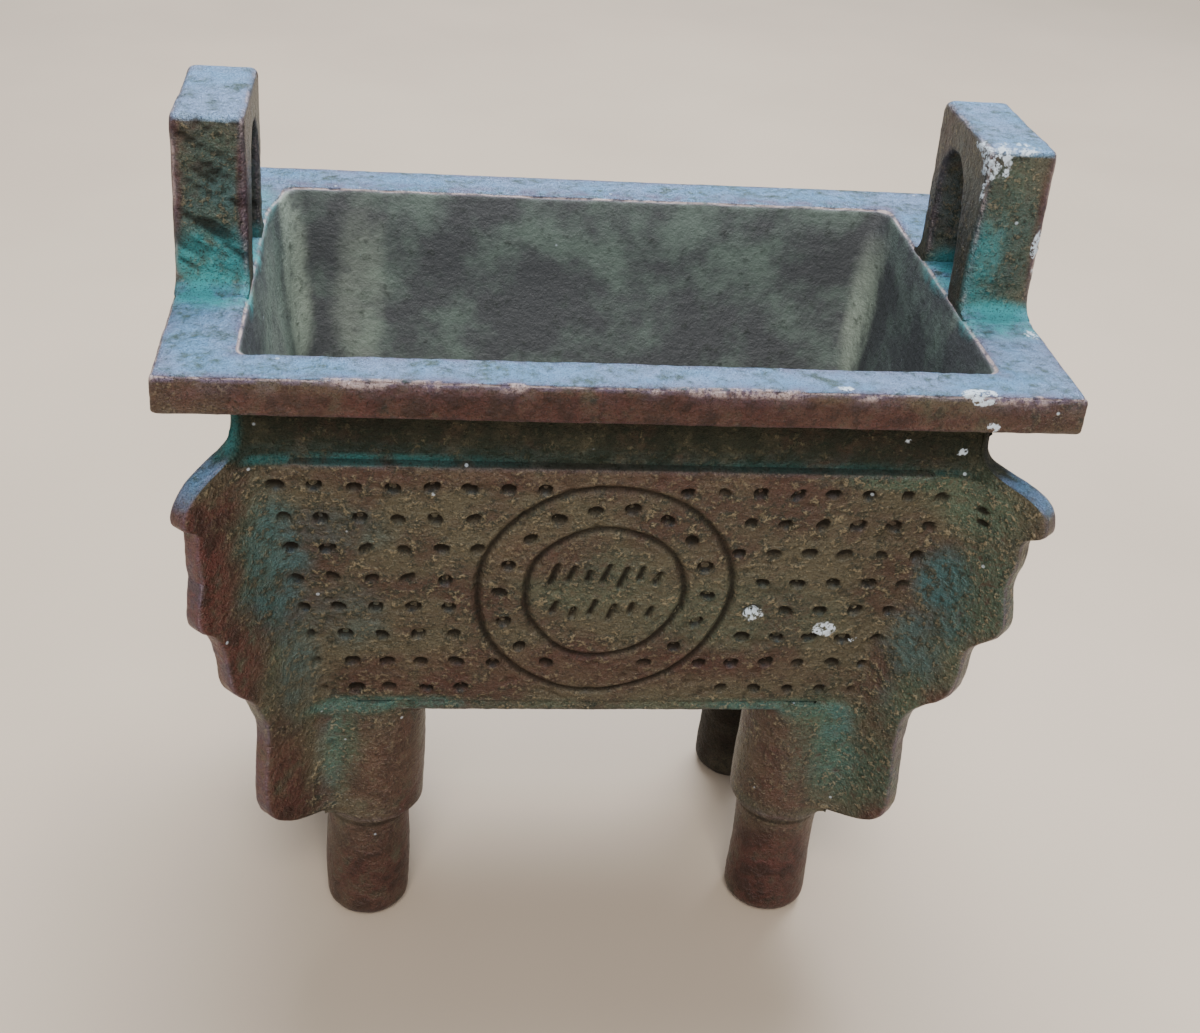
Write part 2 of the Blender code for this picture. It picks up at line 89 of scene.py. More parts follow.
class BurnerSizes(bpy.types.PropertyGroup):
    """Sizes of the casting."""

    leg_clearance: length("Leg clearance", "From the ground to the underside of the bowl", 0.0352)
    band_height: length("Band height", "Height of the plain strip under the panels", 0.0019)
    panel_height: length("Panel height", "Height of the tapered panels", 0.0374)
    neck_height: length("Neck height", "From the panels up to the rim plate", 0.0082)
    rim_thickness: length("Rim thickness", "Thickness of the flat rim plate", 0.0047)
    rim_half_width: length("Rim half width", "From the middle to the rim's front edge", 0.0322)
    panel_top_length: length("Panel top length", "Length of the bowl at the top of the panels", 0.0852)
    panel_top_width: length("Panel top width", "Width of the bowl at the top of the panels", 0.0542)
    panel_foot_length: length("Panel foot length", "Length of the bowl at the foot of the panels", 0.0748)
    panel_foot_width: length("Panel foot width", "Width of the bowl at the foot of the panels", 0.0402)
    band_inset: length("Band inset", "How far the strip lies behind the panels", 0.0006)
    neck_inset: length("Neck inset", "How far the neck lies behind the panels", 0.0007)
    cove: length("Cove", "Radius of the hollow under the rim", 0.0026)
    opening_inset: length("Opening inset", "From the neck's face in to the opening's edge", 0.0006)
    panel_wall: length("Wall", "Thickness of the tapered wall", 0.0027)
    floor_thickness: length("Floor", "Thickness of the bowl's floor", 0.0030)
    worn_edge: length("Worn edge", "Radius that wear has given the rim's edges", 0.0006)
    fin_thickness: length("Fin thickness", "Thickness of the corner fins", 0.0032)
    fin_flare_out: length("Flare on the fin", "Reach of the hollow flare along the fin", 0.0046)
    fin_flare_wall: length("Flare on the wall", "Reach of the hollow flare along the panel", 0.0026)
    leg_inset_x: length("Leg inset, length", "From the panels' foot in to the leg's middle", 0.0096)
    leg_inset_y: length("Leg inset, width", "From the panels' foot in to the leg's middle", 0.00575)
    leg_radius: length("Leg radius", "Radius of a leg", 0.0056)
    foot_round: length("Foot rounding", "Radius of the edge under a leg", 0.0019)
    thigh_radius: length("Thigh radius", "Radius of a leg's upper stretch", 0.0069)
    thigh_height: length("Thigh height", "Height of a leg's upper stretch", 0.0176)
    shoulder: length("Shoulder", "Height of the slope between thigh and leg", 0.0009)
    ear_half_width: length("Ear half width", "From an ear's middle to its side", 0.0100)
    ear_taper: length("Ear taper", "How much thinner an ear is at its top", 0.0002)
    ear_edge: length("Ear edge", "Radius that wear has given an ear's edges", 0.0011)
    ear_flare: length("Ear flare", "Radius of the fillet at an ear's foot", 0.0020)
    slot_half_width: length("Slot half width", "Half the width of the slot in an ear", 0.0046)
    slot_shift: length("Slot shift", "How far the slot is set towards the back", 0.0016)
    slot_height: length("Slot height", "From the rim to the top of the slot's arch", 0.0152)
    pit_pitch: length("Pit pitch", "From pit to pit along a row", 0.00427)
    pit_half_width: length("Pit half width", "Half the width of a pit", 0.00086)
    pit_half_height: length("Pit half height", "Half the height of a pit", 0.00074)
    pit_depth: length("Pit depth", "Depth of a pit", 0.00062)
    oval_half_length: length("Oval half length", "Half the length of the outer oval", 0.0152)
    oval_half_height: length("Oval half height", "Half the height of the outer oval", 0.0166)
    inner_half_length: length("Inner oval half length", "Half the length of the inner oval", 0.0095)
    inner_half_height: length("Inner oval half height", "Half the height of the inner oval", 0.0104)
    groove_width: length("Groove width", "Width of the engraved lines", 0.00078)
    groove_depth: length("Groove depth", "Depth of the engraved lines", 0.00042)


class BurnerColours(bpy.types.PropertyGroup):
    """Colours of the patina, the floor and the light."""

    olive: colour("Olive", "Olive brown of the panels", (0.112, 0.098, 0.060))
    tan: colour("Tan", "Light grains in the skin", (0.360, 0.290, 0.175))
    brown: colour("Brown", "Warm brown between the other colours", (0.080, 0.046, 0.032))
    copper_red: colour("Copper red", "Red brown where the skin has rubbed off", (0.128, 0.030, 0.025))
    # Also the colour of the painted shade on the legs, on the rim's front and under the bowl
    crease: colour("Crease", "Dark brown dirt in the pits and lines", (0.012, 0.009, 0.006))
    # Also the painted shade on the neck, under the rim's overhang, besides dark green patches
    dark_green_and_shade: colour("Black green", "Dark green of the neck and of shaded corners", (0.014, 0.022, 0.014))
    verdigris: colour("Verdigris", "Bright green crust", (0.040, 0.400, 0.420))
    grass: colour("Green film", "Dull green film above the legs and on the fins", (0.058, 0.140, 0.092))
    teal: colour("Teal", "Blue green film", (0.045, 0.130, 0.140))
    # The next two colours are a painted sky reflection on the faces that look up
    sky_reflection_grey: colour("Blue grey", "Pale film on the faces that look up", (0.150, 0.320, 0.540))
    sky_reflection_violet: colour("Violet grey", "Second tone of the pale film", (0.225, 0.330, 0.530))
    lilac: colour("Lilac", "Purplish film beside the worn edges", (0.150, 0.110, 0.170))
    # Also painted along the rim's front lip as a highlight
    bare_metal_and_highlight: colour("Bare metal", "Bronze that shows on rubbed edges", (0.520, 0.400, 0.380))
    lining: colour("Lining", "Grey green skin inside the bowl", (0.132, 0.174, 0.148))
    lining_dark: colour("Dark lining", "Purplish grey patches inside the bowl", (0.066, 0.069, 0.074))
    lining_pale: colour("Pale lining", "Light grey green in the bowl's corners", (0.430, 0.500, 0.400))
    # Also paints small white glints all over and a highlight along the right ear's top edge
    chalk_and_highlight: colour("Chalk", "White mineral crust", (0.720, 0.820, 0.920))
    floor: colour("Floor", "Pale floor", (0.610, 0.490, 0.375))


# Places of the patina's colours and of one painted highlight, each with a middle, three half sizes and a
# strength. Millimetres
VERDIGRIS_PLACES = (
    ((-45.0, -12.0, 88.2), (6.5, 3.6, 3.2), 1.0),
    ((-46.0, -9.8, 91.0), (5.0, 1.5, 4.0), 0.8),
    ((-45.5, 1.5, 87.4), (6.0, 7.0, 2.0), 1.0),
    ((-43.0, 16.0, 87.4), (3.0, 9.0, 1.5), 0.6),
    ((45.5, -12.5, 87.6), (6.0, 4.2, 2.0), 1.0),
    ((45.5, 1.5, 87.4), (6.0, 7.0, 2.0), 0.9),
    ((43.0, -9.8, 93.0), (2.5, 1.5, 6.0), 0.5),
    ((-43.4, -27.2, 79.0), (2.2, 2.2, 4.0), 0.32),
    ((-28.0, -27.0, 75.0), (18.0, 1.2, 0.7), 0.24),
    ((22.0, -27.0, 75.0), (24.0, 1.2, 0.6), 0.10),
    ((-32.5, -19.5, 29.0), (1.8, 5.0, 9.0), 0.10),
    ((33.0, -20.0, 29.0), (4.0, 5.0, 7.0), 0.10),
    ((24.0, -20.5, 36.0), (12.0, 3.0, 1.6), 0.16),
    ((-26.0, -20.5, 36.6), (12.0, 3.0, 1.4), 0.16),
    ((38.5, -21.5, 41.0), (2.4, 3.0, 4.0), 0.25),
)
TEAL_PLACES = (
    ((-38.5, -24.5, 60.5), (4.6, 4.5, 11.5), 0.85),
    ((-36.5, -22.0, 46.0), (3.2, 4.5, 10.0), 0.60),
    ((-31.0, -25.5, 65.0), (7.0, 3.0, 4.0), 0.40),
    ((-30.0, -22.5, 52.0), (5.0, 3.0, 6.0), 0.38),
    ((40.2, -25.2, 60.0), (3.6, 5.0, 5.5), 1.0),
    ((42.4, -26.0, 55.0), (3.0, 4.0, 4.0), 0.8),
    ((39.2, -23.6, 49.5), (4.0, 5.0, 6.5), 0.75),
    ((37.6, -21.2, 43.2), (1.6, 2.0, 1.8), 0.9),
    ((-44.5, -9.8, 99.0), (3.0, 1.5, 3.5), 0.7),
    ((-43.4, -9.8, 92.5), (3.2, 1.5, 3.6), 0.75),
    ((-40.5, 0.0, 76.0), (2.5, 24.0, 12.0), 0.6),
    ((46.0, 0.0, 97.0), (6.5, 14.0, 13.0), 0.62),
    ((-46.0, 0.0, 98.0), (6.5, 14.0, 12.0), 0.60),
    ((-28.0, -26.6, 75.6), (30.0, 2.0, 1.5), 0.60),
    ((10.0, -26.6, 75.6), (36.0, 2.0, 1.2), 0.40),
    ((32.6, -20.4, 34.0), (2.2, 3.0, 3.0), 0.5),
)
GRASS_PLACES = (
    ((30.5, -20.5, 30.5), (5.5, 6.0, 9.0), 0.95),
    ((36.5, -23.5, 27.0), (6.0, 6.0, 8.0), 0.75),
    ((41.5, -27.5, 40.0), (7.0, 7.0, 8.0), 0.70),
    ((44.5, -29.5, 58.0), (6.0, 6.0, 12.0), 0.80),
    ((43.5, -28.0, 71.0), (7.0, 5.0, 5.0), 0.75),
    ((34.0, -26.5, 73.6), (12.0, 2.5, 1.5), 0.90),
    ((24.0, -20.5, 36.4), (16.0, 3.0, 1.6), 0.75),
    ((-26.0, -20.5, 36.6), (14.0, 3.0, 1.6), 0.80),
    ((-31.0, -20.5, 29.0), (2.2, 5.0, 8.0), 0.85),
    ((-40.5, -26.0, 56.0), (3.6, 5.0, 18.0), 0.55),
    ((-45.0, -9.8, 97.0), (5.0, 1.5, 12.0), 0.55),
    ((44.5, -9.8, 96.0), (5.0, 1.5, 12.0), 0.60),
    ((0.0, -21.5, 36.0), (40.0, 2.4, 1.6), 0.60),
    ((-39.2, 21.6, 74.0), (2.6, 4.0, 22.0), 1.0),
    ((-30.0, 23.0, 72.0), (3.5, 3.0, 16.0), 0.35),
    ((39.0, 21.0, 72.0), (2.2, 3.0, 18.0), 0.7),
    ((36.0, -8.0, 70.0), (4.0, 9.0, 10.0), 0.35),
    ((-40.0, 2.0, 68.0), (3.0, 20.0, 18.0), 0.45),
    ((-2.0, -24.2, 57.0), (9.0, 2.0, 7.0), 0.40),
    ((17.0, -23.0, 52.0), (14.0, 2.5, 7.0), 0.35),
    ((-28.0, -16.0, 20.5), (5.0, 5.0, 3.0), 0.55),
    ((27.0, -16.0, 18.5), (6.0, 5.0, 1.6), 0.60),
)
COPPER_PLACES = (
    ((0.0, -32.6, 84.2), (60.0, 1.8, 3.2), 0.80),
    ((-46.5, -32.5, 60.0), (5.2, 6.5, 13.0), 1.0),
    ((-43.5, -29.5, 48.0), (5.0, 6.0, 9.0), 0.95),
    ((-39.5, -25.5, 27.0), (6.5, 6.5, 10.0), 0.85),
    ((-45.5, -30.5, 70.0), (4.5, 4.5, 2.6), 0.8),
    ((2.0, -21.6, 43.0), (24.0, 4.0, 4.5), 0.36),
    ((-3.0, -26.4, 73.0), (34.0, 2.0, 2.0), 0.30),
    ((-8.0, -24.4, 62.0), (6.0, 2.0, 5.0), 0.40),
    ((-22.0, -21.2, 42.0), (10.0, 3.0, 4.0), 0.35),
    ((46.0, -32.5, 52.0), (4.5, 4.5, 4.0), 0.7),
    ((43.0, -29.0, 43.0), (4.0, 4.0, 3.0), 0.7),
    ((40.5, -26.5, 21.0), (6.0, 6.0, 5.0), 0.8),
    ((-41.6, -9.6, 98.5), (1.0, 2.5, 9.0), 0.8),
    ((-49.4, -9.6, 101.0), (1.0, 2.5, 8.0), 0.8),
    ((49.2, -9.6, 98.5), (1.0, 2.5, 9.0), 0.7),
    ((-27.6, -15.0, 7.0), (8.0, 8.0, 13.0), 0.95),
    ((27.6, -15.0, 7.0), (8.0, 8.0, 12.0), 0.90),
    ((-25.0, -18.5, 25.0), (7.0, 6.0, 9.0), 0.60),
    ((26.0, -19.0, 25.0), (5.0, 6.0, 9.0), 0.45),
    ((0.0, -33.0, 84.8), (60.0, 1.0, 2.6), 1.0),
    ((11.0, 24.0, 77.0), (15.0, 5.0, 10.0), 0.45),
)
CHALK_AND_HIGHLIGHT_PLACES = (
    ((42.0, -9.4, 105.8), (3.2, 2.2, 2.6), 1.0),
    # A painted highlight along the right ear's top edge, not a crust
    ((44.6, -8.6, 107.2), (4.0, 2.6, 0.8), 0.65),
    ((40.9, -9.4, 102.6), (1.1, 1.0, 3.2), 0.75),
    ((41.4, -7.0, 106.6), (1.1, 3.0, 1.1), 0.8),
    ((45.5, -9.6, 106.2), (2.0, 0.8, 0.8), 0.6),
    ((49.3, -9.6, 96.2), (0.8, 1.4, 2.2), 1.0),
    ((49.6, -9.6, 92.5), (0.5, 0.9, 0.9), 0.8),
    ((48.6, -15.8, 87.3), (1.0, 1.6, 0.9), 0.8),
    ((38.0, -32.2, 87.0), (2.2, 1.1, 0.9), 1.0),
    ((39.6, -32.2, 83.6), (0.8, 1.0, 0.6), 1.0),
    ((18.4, -23.1, 52.6), (1.5, 1.2, 1.3), 0.9),
    ((27.9, -22.6, 50.0), (1.6, 1.2, 1.5), 1.0),
    ((31.5, -22.2, 48.6), (0.8, 0.8, 0.6), 0.7),
    ((39.1, -26.4, 77.4), (0.6, 0.8, 0.5), 0.9),
    ((32.5, -26.4, 78.6), (0.4, 0.8, 0.4), 0.9),
    ((-3.2, -26.4, 77.0), (0.4, 0.8, 0.3), 0.8),
    ((-33.8, -26.4, 78.2), (0.4, 0.8, 0.3), 0.8),
    ((22.9, -30.9, 87.3), (1.2, 1.0, 0.6), 0.9),
    ((37.4, -31.6, 87.3), (2.6, 1.2, 0.7), 1.0),
    ((40.6, -14.5, 87.3), (1.2, 1.2, 0.6), 0.5),
    ((43.0, -28.8, 70.1), (0.5, 1.0, 1.5), 0.55),
)

# Painted shade on the legs, on the rim's front and under the bowl
PAINTED_SHADE_PLACES = (
    ((27.8, 14.4, 14.0), (10.0, 9.0, 28.0), 0.80),
    ((-27.8, 14.4, 14.0), (10.0, 9.0, 28.0), 0.80),
    ((-27.8, -14.4, 7.0), (9.0, 9.0, 15.0), 0.40),
    ((27.8, -14.4, 7.0), (9.0, 9.0, 15.0), 0.36),
    ((0.0, -32.6, 84.6), (60.0, 1.4, 2.6), 0.42),
    ((0.0, 0.0, 34.8), (44.0, 24.0, 1.2), 0.45),
)

# Two small dents in the right fin
MARK_PLACES = (
    ((41.9, -28.8, 70.9), (0.75, 1.2, 0.45), 1.0),
    ((42.1, -28.8, 69.4), (0.75, 1.2, 0.45), 1.0),
)

# Outlines of the two front fins, from the rib on the neck down to the foot. Each pair holds how far the edge
# stands out from the panels' top corner, on the diagonal, and its height. Millimetres
LEFT_FIN = (
    (0.5, 84.0), (-0.1, 81.0), (-0.3, 79.6), (0.0, 78.0), (0.5, 76.9), (1.4, 76.0), (2.7, 75.3), (4.1, 74.6),
    (5.4, 73.8), (6.4, 72.9), (7.1, 72.0), (7.6, 71.0), (7.8, 70.1), (7.7, 69.4), (7.2, 68.8), (6.3, 68.5),
    (6.0, 67.7), (6.1, 65.8), (6.1, 63.6), (5.8, 62.0), (6.1, 60.1), (6.4, 58.2), (6.5, 56.8), (6.3, 55.7),
    (5.7, 54.9), (4.8, 54.2), (3.9, 53.1), (3.3, 51.7), (2.9, 49.8), (2.6, 47.8), (2.4, 46.2), (1.9, 44.8),
    (1.0, 43.7), (-0.3, 42.6), (-1.3, 41.2), (-1.9, 39.7), (-2.6, 38.0), (-2.9, 36.5), (-2.8, 34.6),
    (-2.4, 31.0), (-2.2, 27.0), (-2.4, 25.0), (-3.0, 23.2), (-4.0, 21.9), (-5.4, 20.9), (-7.3, 20.1),
    (-9.6, 19.6), (-12.9, 18.8),
)
RIGHT_FIN = (
    (0.2, 84.0), (-0.6, 81.0), (-0.9, 79.6), (-0.8, 78.0), (-0.3, 76.8), (0.7, 76.2), (2.0, 75.8),
    (3.4, 75.4), (4.8, 75.1), (6.2, 74.7), (7.3, 74.2), (8.1, 73.5), (8.6, 72.6), (8.8, 71.6),
    (8.8, 70.7), (8.4, 70.1), (7.7, 69.7), (6.7, 69.3), (6.3, 68.4), (6.4, 66.9), (6.3, 65.2),
    (5.9, 63.9), (5.7, 62.5), (5.8, 61.0), (6.2, 59.2), (6.5, 57.7), (6.4, 56.5), (5.9, 55.5),
    (5.0, 54.5), (3.8, 53.5), (2.8, 52.2), (2.4, 50.8), (2.4, 49.2), (2.3, 47.6), (2.1, 46.0),
    (1.5, 44.5), (0.4, 43.2), (-1.3, 41.7), (-2.6, 40.3), (-3.4, 38.9), (-3.8, 37.3), (-3.9, 34.0),
    (-3.6, 29.7), (-3.3, 25.7), (-3.4, 23.8), (-3.9, 22.2), (-4.9, 21.0), (-6.3, 20.2), (-7.9, 19.7),
    (-9.6, 19.3), (-11.5, 18.9), (-12.9, 18.6),
)

# How far the fin's measured corners are rounded
FIN_SMOOTHING = 0.00040
FIN_STEPS = 1200
FIN_WINDOW = 40

# A fin's flares: the lead-in under the wall's skin, the points of each stretch, and the hidden root
LEAD_POINTS = 9
LEAD_LENGTH = 0.0020
LEAD_SINK = 0.00035
FLARE_POINTS = 20
BLADE_POINTS = 11
ROOT_DEPTH = 0.0024
THIGH_MEETING = math.radians(40.0)
THIGH_LEAD = 0.35
THIGH_FLARE = 0.0026
STRIP_FILM = 0.4

# How uneven a fin's thickness, its rounded edge and its outline are, and the size of each noise
FIN_THINNED = 0.00022
FIN_THINNED_CELL = 0.0040
FIN_EDGE = 0.0005
FIN_EDGE_SPREAD = 0.0003
FIN_EDGE_CELL = 0.0030
FIN_RAGGED = 0.00016
FIN_RAGGED_CELL = 0.0022

# The thighs sit a little off their legs: along the bowl, each in its own way, and in towards its middle
THIGH_SHIFT_LEFT = -0.0005
THIGH_SHIFT_RIGHT = 0.0004
THIGH_DRAWN_IN = 0.00105

# A leg's slow bulges along its height, the crease under its thigh and the wear above its foot
LEG_BULGE = 0.00012
LEG_WAVES = 330.0
CREASE_WIDTH = 0.0004
FOOT_WEAR_HEIGHT = 0.0008
FOOT_WEAR_WIDTH = 0.0006

# The opening's back lip and its back left corner stand a little further in than the front ones
BACK_LIP_DRAWN = 0.0012
BACK_LEFT_DRAWN = 0.0016

# The casting's skin: the size of each scale of noise, how deep it goes and how much more goes at worn edges
SWELL_CELL = 0.0070
SWELL_DEPTH = 0.00012
SKIN_CELL = 0.0013
SKIN_DEPTH = 0.00011
GRAIN_CELL = 0.00045
GRAIN_DEPTH = 0.000040
EDGE_CELL = 0.0024
WALL_WEAR = 0.00016
RIM_WEAR = 0.00050
FIN_WEAR = 0.00022
EAR_WEAR = 0.00026
BORDER_CELL = 0.0032
LUMP_CELL = 0.0008
LUMP_HEIGHT = 0.00030
MARK_DEPTH = 0.00035
DENT_CELL = 0.0017
DENT_DEPTH = 0.00020

# The levels of a wall shell that carry a panel's relief. The back half starts a little higher, and each
# half sinks into the other past the middle of the end walls
PANEL_LEVELS = slice(15, 167)
WALL_CORNER = 0.0012
BACK_RAISED = 0.0002
HALF_OVERLAP = 0.0005
HALF_REACH = 0.004
HALF_SINK = 0.15
HALF_MOST = 0.3

# Rows of pits
PIT_ROWS = 8
PIT_TOP = 0.0031
PIT_FOOT = 0.0025
PIT_MARGIN = 0.0043
PIT_CLEARANCE = 0.0014
PIT_CLEARANCE_TOP = 0.00035
LAST_ROW_START = 0.0130
OVAL_RISE = -0.0003
RING_PITS = 18
RING_PITS_OMITTED = 2

# How much the pits differ in place, size, depth and lean, how far each reaches, and its lip
PIT_STRAY = 0.00010
PIT_SIZE_SPREAD = 0.09
PIT_DEPTHS = (1.0, 1.0, 1.0, 0.9, 0.6)
PIT_DEPTH_SPREAD = 0.10
PIT_LEAN_SPREAD = 0.16
PIT_REACH = 0.0018
PIT_LIP = 0.00009

# Two rows of plain strokes: height, number, half the row's length, longest stroke
STROKE_ROWS = ((0.0031, 7, 0.0062, 0.0031), (-0.0026, 6, 0.0058, 0.0024))

# How the strokes lean and stray, their width, and the bank of metal beside each
STROKE_LEAN = math.radians(15.0)
STROKE_STRAY = 0.0004
STROKE_HALF_WIDTH = 0.00030
STROKE_BANK_PLACE = 0.00062
STROKE_BANK_WIDTH = 0.00022
STROKE_BANK = 0.00010

# How far the ovals wander from their true line, in three and seven waves, and their raised banks
GROOVE_WANDER = (0.00012, 0.00007)
GROOVE_BANK = 0.00007

# The ears: how deep they stand in the rim, the slot's slant and its arch's sway, their own small edges,
# and the strokes that a tool left on them
EAR_SUNK = 0.0014
SLOT_SLANT = 0.0009
ARCH_SWAY = 0.0007
EAR_ROUNDING = 0.0009
EAR_WORN_WIDTH = 0.0013
EAR_CREASE_WIDTH = 0.0007
EAR_CLEARANCE = 0.0001
TOOL_ANGLE = math.radians(-32.0)
TOOL_STRETCH = 6.0
TOOL_CELL = 0.0007
TOOL_DEPTH = 0.00022

# The rubbed lip along the rim's front edge, also painted bright as a highlight
LIP_CELL = 0.0042
LIP_WIDTH = 0.0010
RIM_EDGE_WIDTH = 0.0013

# The floor, the sky and the lamps: place, size, power and tint
FLOOR_REACH = 3.0
SKY_TINT = (0.80, 0.88, 1.0, 1.0)
SKY_STRENGTH = 0.40
LAMP_AIM = (0.0, 0.0, 0.05)
LAMPS = (
    ("overhead", (0.10, 0.32, 0.75), 0.6, 12.5, (0.90, 0.95, 1.0)),
    ("front_fill", (-0.06, -0.62, 0.65), 0.34, 6.4, (1.0, 0.97, 0.92)),
)

# Camera
CAMERA_PLACE = (-0.02422, -0.18794, 0.16448)
CAMERA_AZIMUTH = math.radians(7.9309)
CAMERA_DOWN = math.radians(30.5676)
CAMERA_ROLL = math.radians(4.986)
CAMERA_LENS = 50.11
CAMERA_SENSOR = 36.0


class Plan:
    """Heights and half sizes that follow from the sizes a user can set."""

    def __init__(self, sizes):
        self.band_top = sizes.leg_clearance + sizes.band_height
        self.panel_top = self.band_top + sizes.panel_height
        self.rim_under = self.panel_top + sizes.neck_height
        self.rim_top = self.rim_under + sizes.rim_thickness
        self.top_x = sizes.panel_top_length / 2
        self.top_y = sizes.panel_top_width / 2
        self.foot_x = sizes.panel_foot_length / 2
        self.foot_y = sizes.panel_foot_width / 2
        self.neck_x = self.top_x - sizes.neck_inset
        self.neck_y = self.top_y - sizes.neck_inset
        self.opening_x = self.neck_x - sizes.opening_inset
        self.opening_y = self.neck_y - sizes.opening_inset
        self.floor = sizes.leg_clearance + sizes.floor_thickness
        self.leg_x = self.foot_x - sizes.leg_inset_x
        self.leg_y = self.foot_y - sizes.leg_inset_y
        self.slope = math.hypot(sizes.panel_height, self.top_y - self.foot_y)

    def wall(self, z):
        """Half length and half width of the bowl's outside at a height, on the plane of the panels."""
        share = np.clip((z - self.band_top) / (self.panel_top - self.band_top), 0.0, 1.0)
        half_x = self.foot_x + share * (self.top_x - self.foot_x)
        half_y = self.foot_y + share * (self.top_y - self.foot_y)
        inset = np.clip(z - self.panel_top, 0.0, self.top_x - self.neck_x)
        return half_x - inset, half_y - inset


def ease(t):
    """3t^2 - 2t^3 for t held between 0 and 1."""
    t = np.clip(t, 0.0, 1.0)
    return t * t * (3 - 2 * t)


def hashed(index, seed):
    """A fixed value from 0 to 1 for each whole-number place, from shifted and multiplied bits."""
    mixed = (index[..., 0] * 73856093) ^ (index[..., 1] * 19349663) ^ (index[..., 2] * 83492791)
    mixed = (mixed ^ (seed * 6542989)) & 0x7FFFFFFF
    mixed = ((mixed ^ (mixed >> 15)) * 73244475) & 0x7FFFFFFF
    mixed = ((mixed ^ (mixed >> 13)) * 19990303) & 0x7FFFFFFF
    return ((mixed ^ (mixed >> 11)) & 0xFFFF) / 65535.0


def noise(points, cell, seed):
    """Smooth values from 0 to 1: a fixed value at each corner of a cube lattice, eased between corners."""
    scaled = points / cell
    base = np.floor(scaled).astype(np.int64)
    t = ease(scaled - base)
    total = np.zeros(points.shape[:-1])
    for corner in range(8):
        step = np.array([corner & 1, (corner >> 1) & 1, corner >> 2])
        weight = np.prod(np.where(step, t, 1 - t), axis=-1)
        total += weight * hashed(base + step, seed)
    return total


def layered_noise(points, cell, seed, layers=3):
    """A sum of noise, each layer twice as fine and half as strong, brought back to 0 to 1."""
    total = sum(noise(points, cell / 2**i, seed + i) / 2**i for i in range(layers))
    return total / (2 - 2 ** (1 - layers))


def outward(grid):
    """Unit normals of a stack of closed rings: the cross product of its two directions, turned outwards."""
    along = np.roll(grid, -1, axis=1) - np.roll(grid, 1, axis=1)
    up = np.gradient(grid, axis=0)
    normals = np.cross(along, up)
    size = np.linalg.norm(normals, axis=-1, keepdims=True)
    normals = normals / np.maximum(size, 1e-12)
    return normals * turned_outwards(grid)


def turned_outwards(grid):
    """1 where the cross product of ring and stack directions points out of the shell, else -1.

    The sign is that of the volume, the sum of a . (b x c) over the triangles.
    """
    a = grid[:-1]
    b = np.roll(grid, -1, axis=1)[:-1]
    c = grid[1:]
    d = np.roll(grid, -1, axis=1)[1:]
    volume = (a * np.cross(b, d)).sum() + (a * np.cross(d, c)).sum()
    return 1.0 if volume > 0 else -1.0


def ellipsoids(points, places, seed):
    """The strongest of several soft ellipsoids at each point, with ragged borders."""
    ragged = 0.72 + 0.56 * layered_noise(points, BORDER_CELL, seed)
    field = np.zeros(points.shape[:-1])
    for middle, halves, strength in places:
        offset = (points - np.array(middle) / 1000) / (np.array(halves) / 1000)
        distance = np.linalg.norm(offset, axis=-1) * ragged
        field = np.maximum(field, strength * ease(1.7 - 1.35 * distance))
    return field


def neck_shade(points):
    """1 on the neck, from the ledge above the panels up to the rim's underside, and 0 elsewhere."""
    # The material paints shade over this band, under the rim's overhang
    plan = Plan(bpy.context.scene.burner_sizes)
    high = ease((points[..., 2] - plan.panel_top + 0.0004) / 0.0006)
    low = ease((plan.rim_under + 0.0002 - points[..., 2]) / 0.0006)
    out = np.maximum(np.abs(points[..., 0]) - plan.neck_x, np.abs(points[..., 1]) - plan.neck_y)
    return high * low * ease((0.0034 - out) / 0.0016)


def weather(grid, worn, recess, wear_depth=WALL_WEAR):
    """Moves a smooth surface in along its normals, as casting, corrosion and rubbing leave it.

    Three scales of noise give the skin. Where an edge is worn, a coarser noise takes more away. White
    mineral crusts, and a painted highlight on the right ear, stand proud. Returns the new surface and the
    fields that the material reads.
    """
    normals = outward(grid)
    swell = layered_noise(grid, SWELL_CELL, 11)
    skin = layered_noise(grid, SKIN_CELL, 23)
    grain = noise(grid, GRAIN_CELL, 37)
    edge_noise = layered_noise(grid, EDGE_CELL, 53)
    depth = SWELL_DEPTH * swell + SKIN_DEPTH * skin + GRAIN_DEPTH * grain
    depth = depth + wear_depth * np.clip(worn, 0, 1) * edge_noise**2 * 1.6
    chalk_and_highlight = ellipsoids(grid, CHALK_AND_HIGHLIGHT_PLACES, 71)
    mark = ellipsoids(grid, MARK_PLACES, 77)
    depth = depth + MARK_DEPTH * mark
    # The dents and the painted shade on the legs, the rim's front and under the bowl darken the recess field
    dirt_and_shade = np.maximum(mark, 0.85 * ellipsoids(grid, PAINTED_SHADE_PLACES, 79))
    lump = np.clip(layered_noise(grid, LUMP_CELL, 83) * 1.9 - 0.75, 0, 1) * chalk_and_highlight
    depth = depth - LUMP_HEIGHT * lump
    fields = {
        "worn": np.clip(worn * (0.35 + 1.1 * edge_noise), 0, 1),
        "recess": np.clip(np.maximum(recess, dirt_and_shade), 0, 1),
        "verdigris": ellipsoids(grid, VERDIGRIS_PLACES, 91),
        "teal": ellipsoids(grid, TEAL_PLACES, 97),
        "grass": ellipsoids(grid, GRASS_PLACES, 99),
        "copper": ellipsoids(grid, COPPER_PLACES, 103),
        "chalk_and_highlight": np.clip(chalk_and_highlight * (0.25 + lump * 1.5), 0, 1),
        # Painted sky reflection: how much a face looks up, for the pale blue-grey sheen that the material
        # paints there
        "sky_sheen_mask": ease((normals[..., 2] - 0.35) / 0.55),
        # Painted shade on the neck under the rim
        "neck": neck_shade(grid),
    }
    return grid - normals * depth[..., None], fields


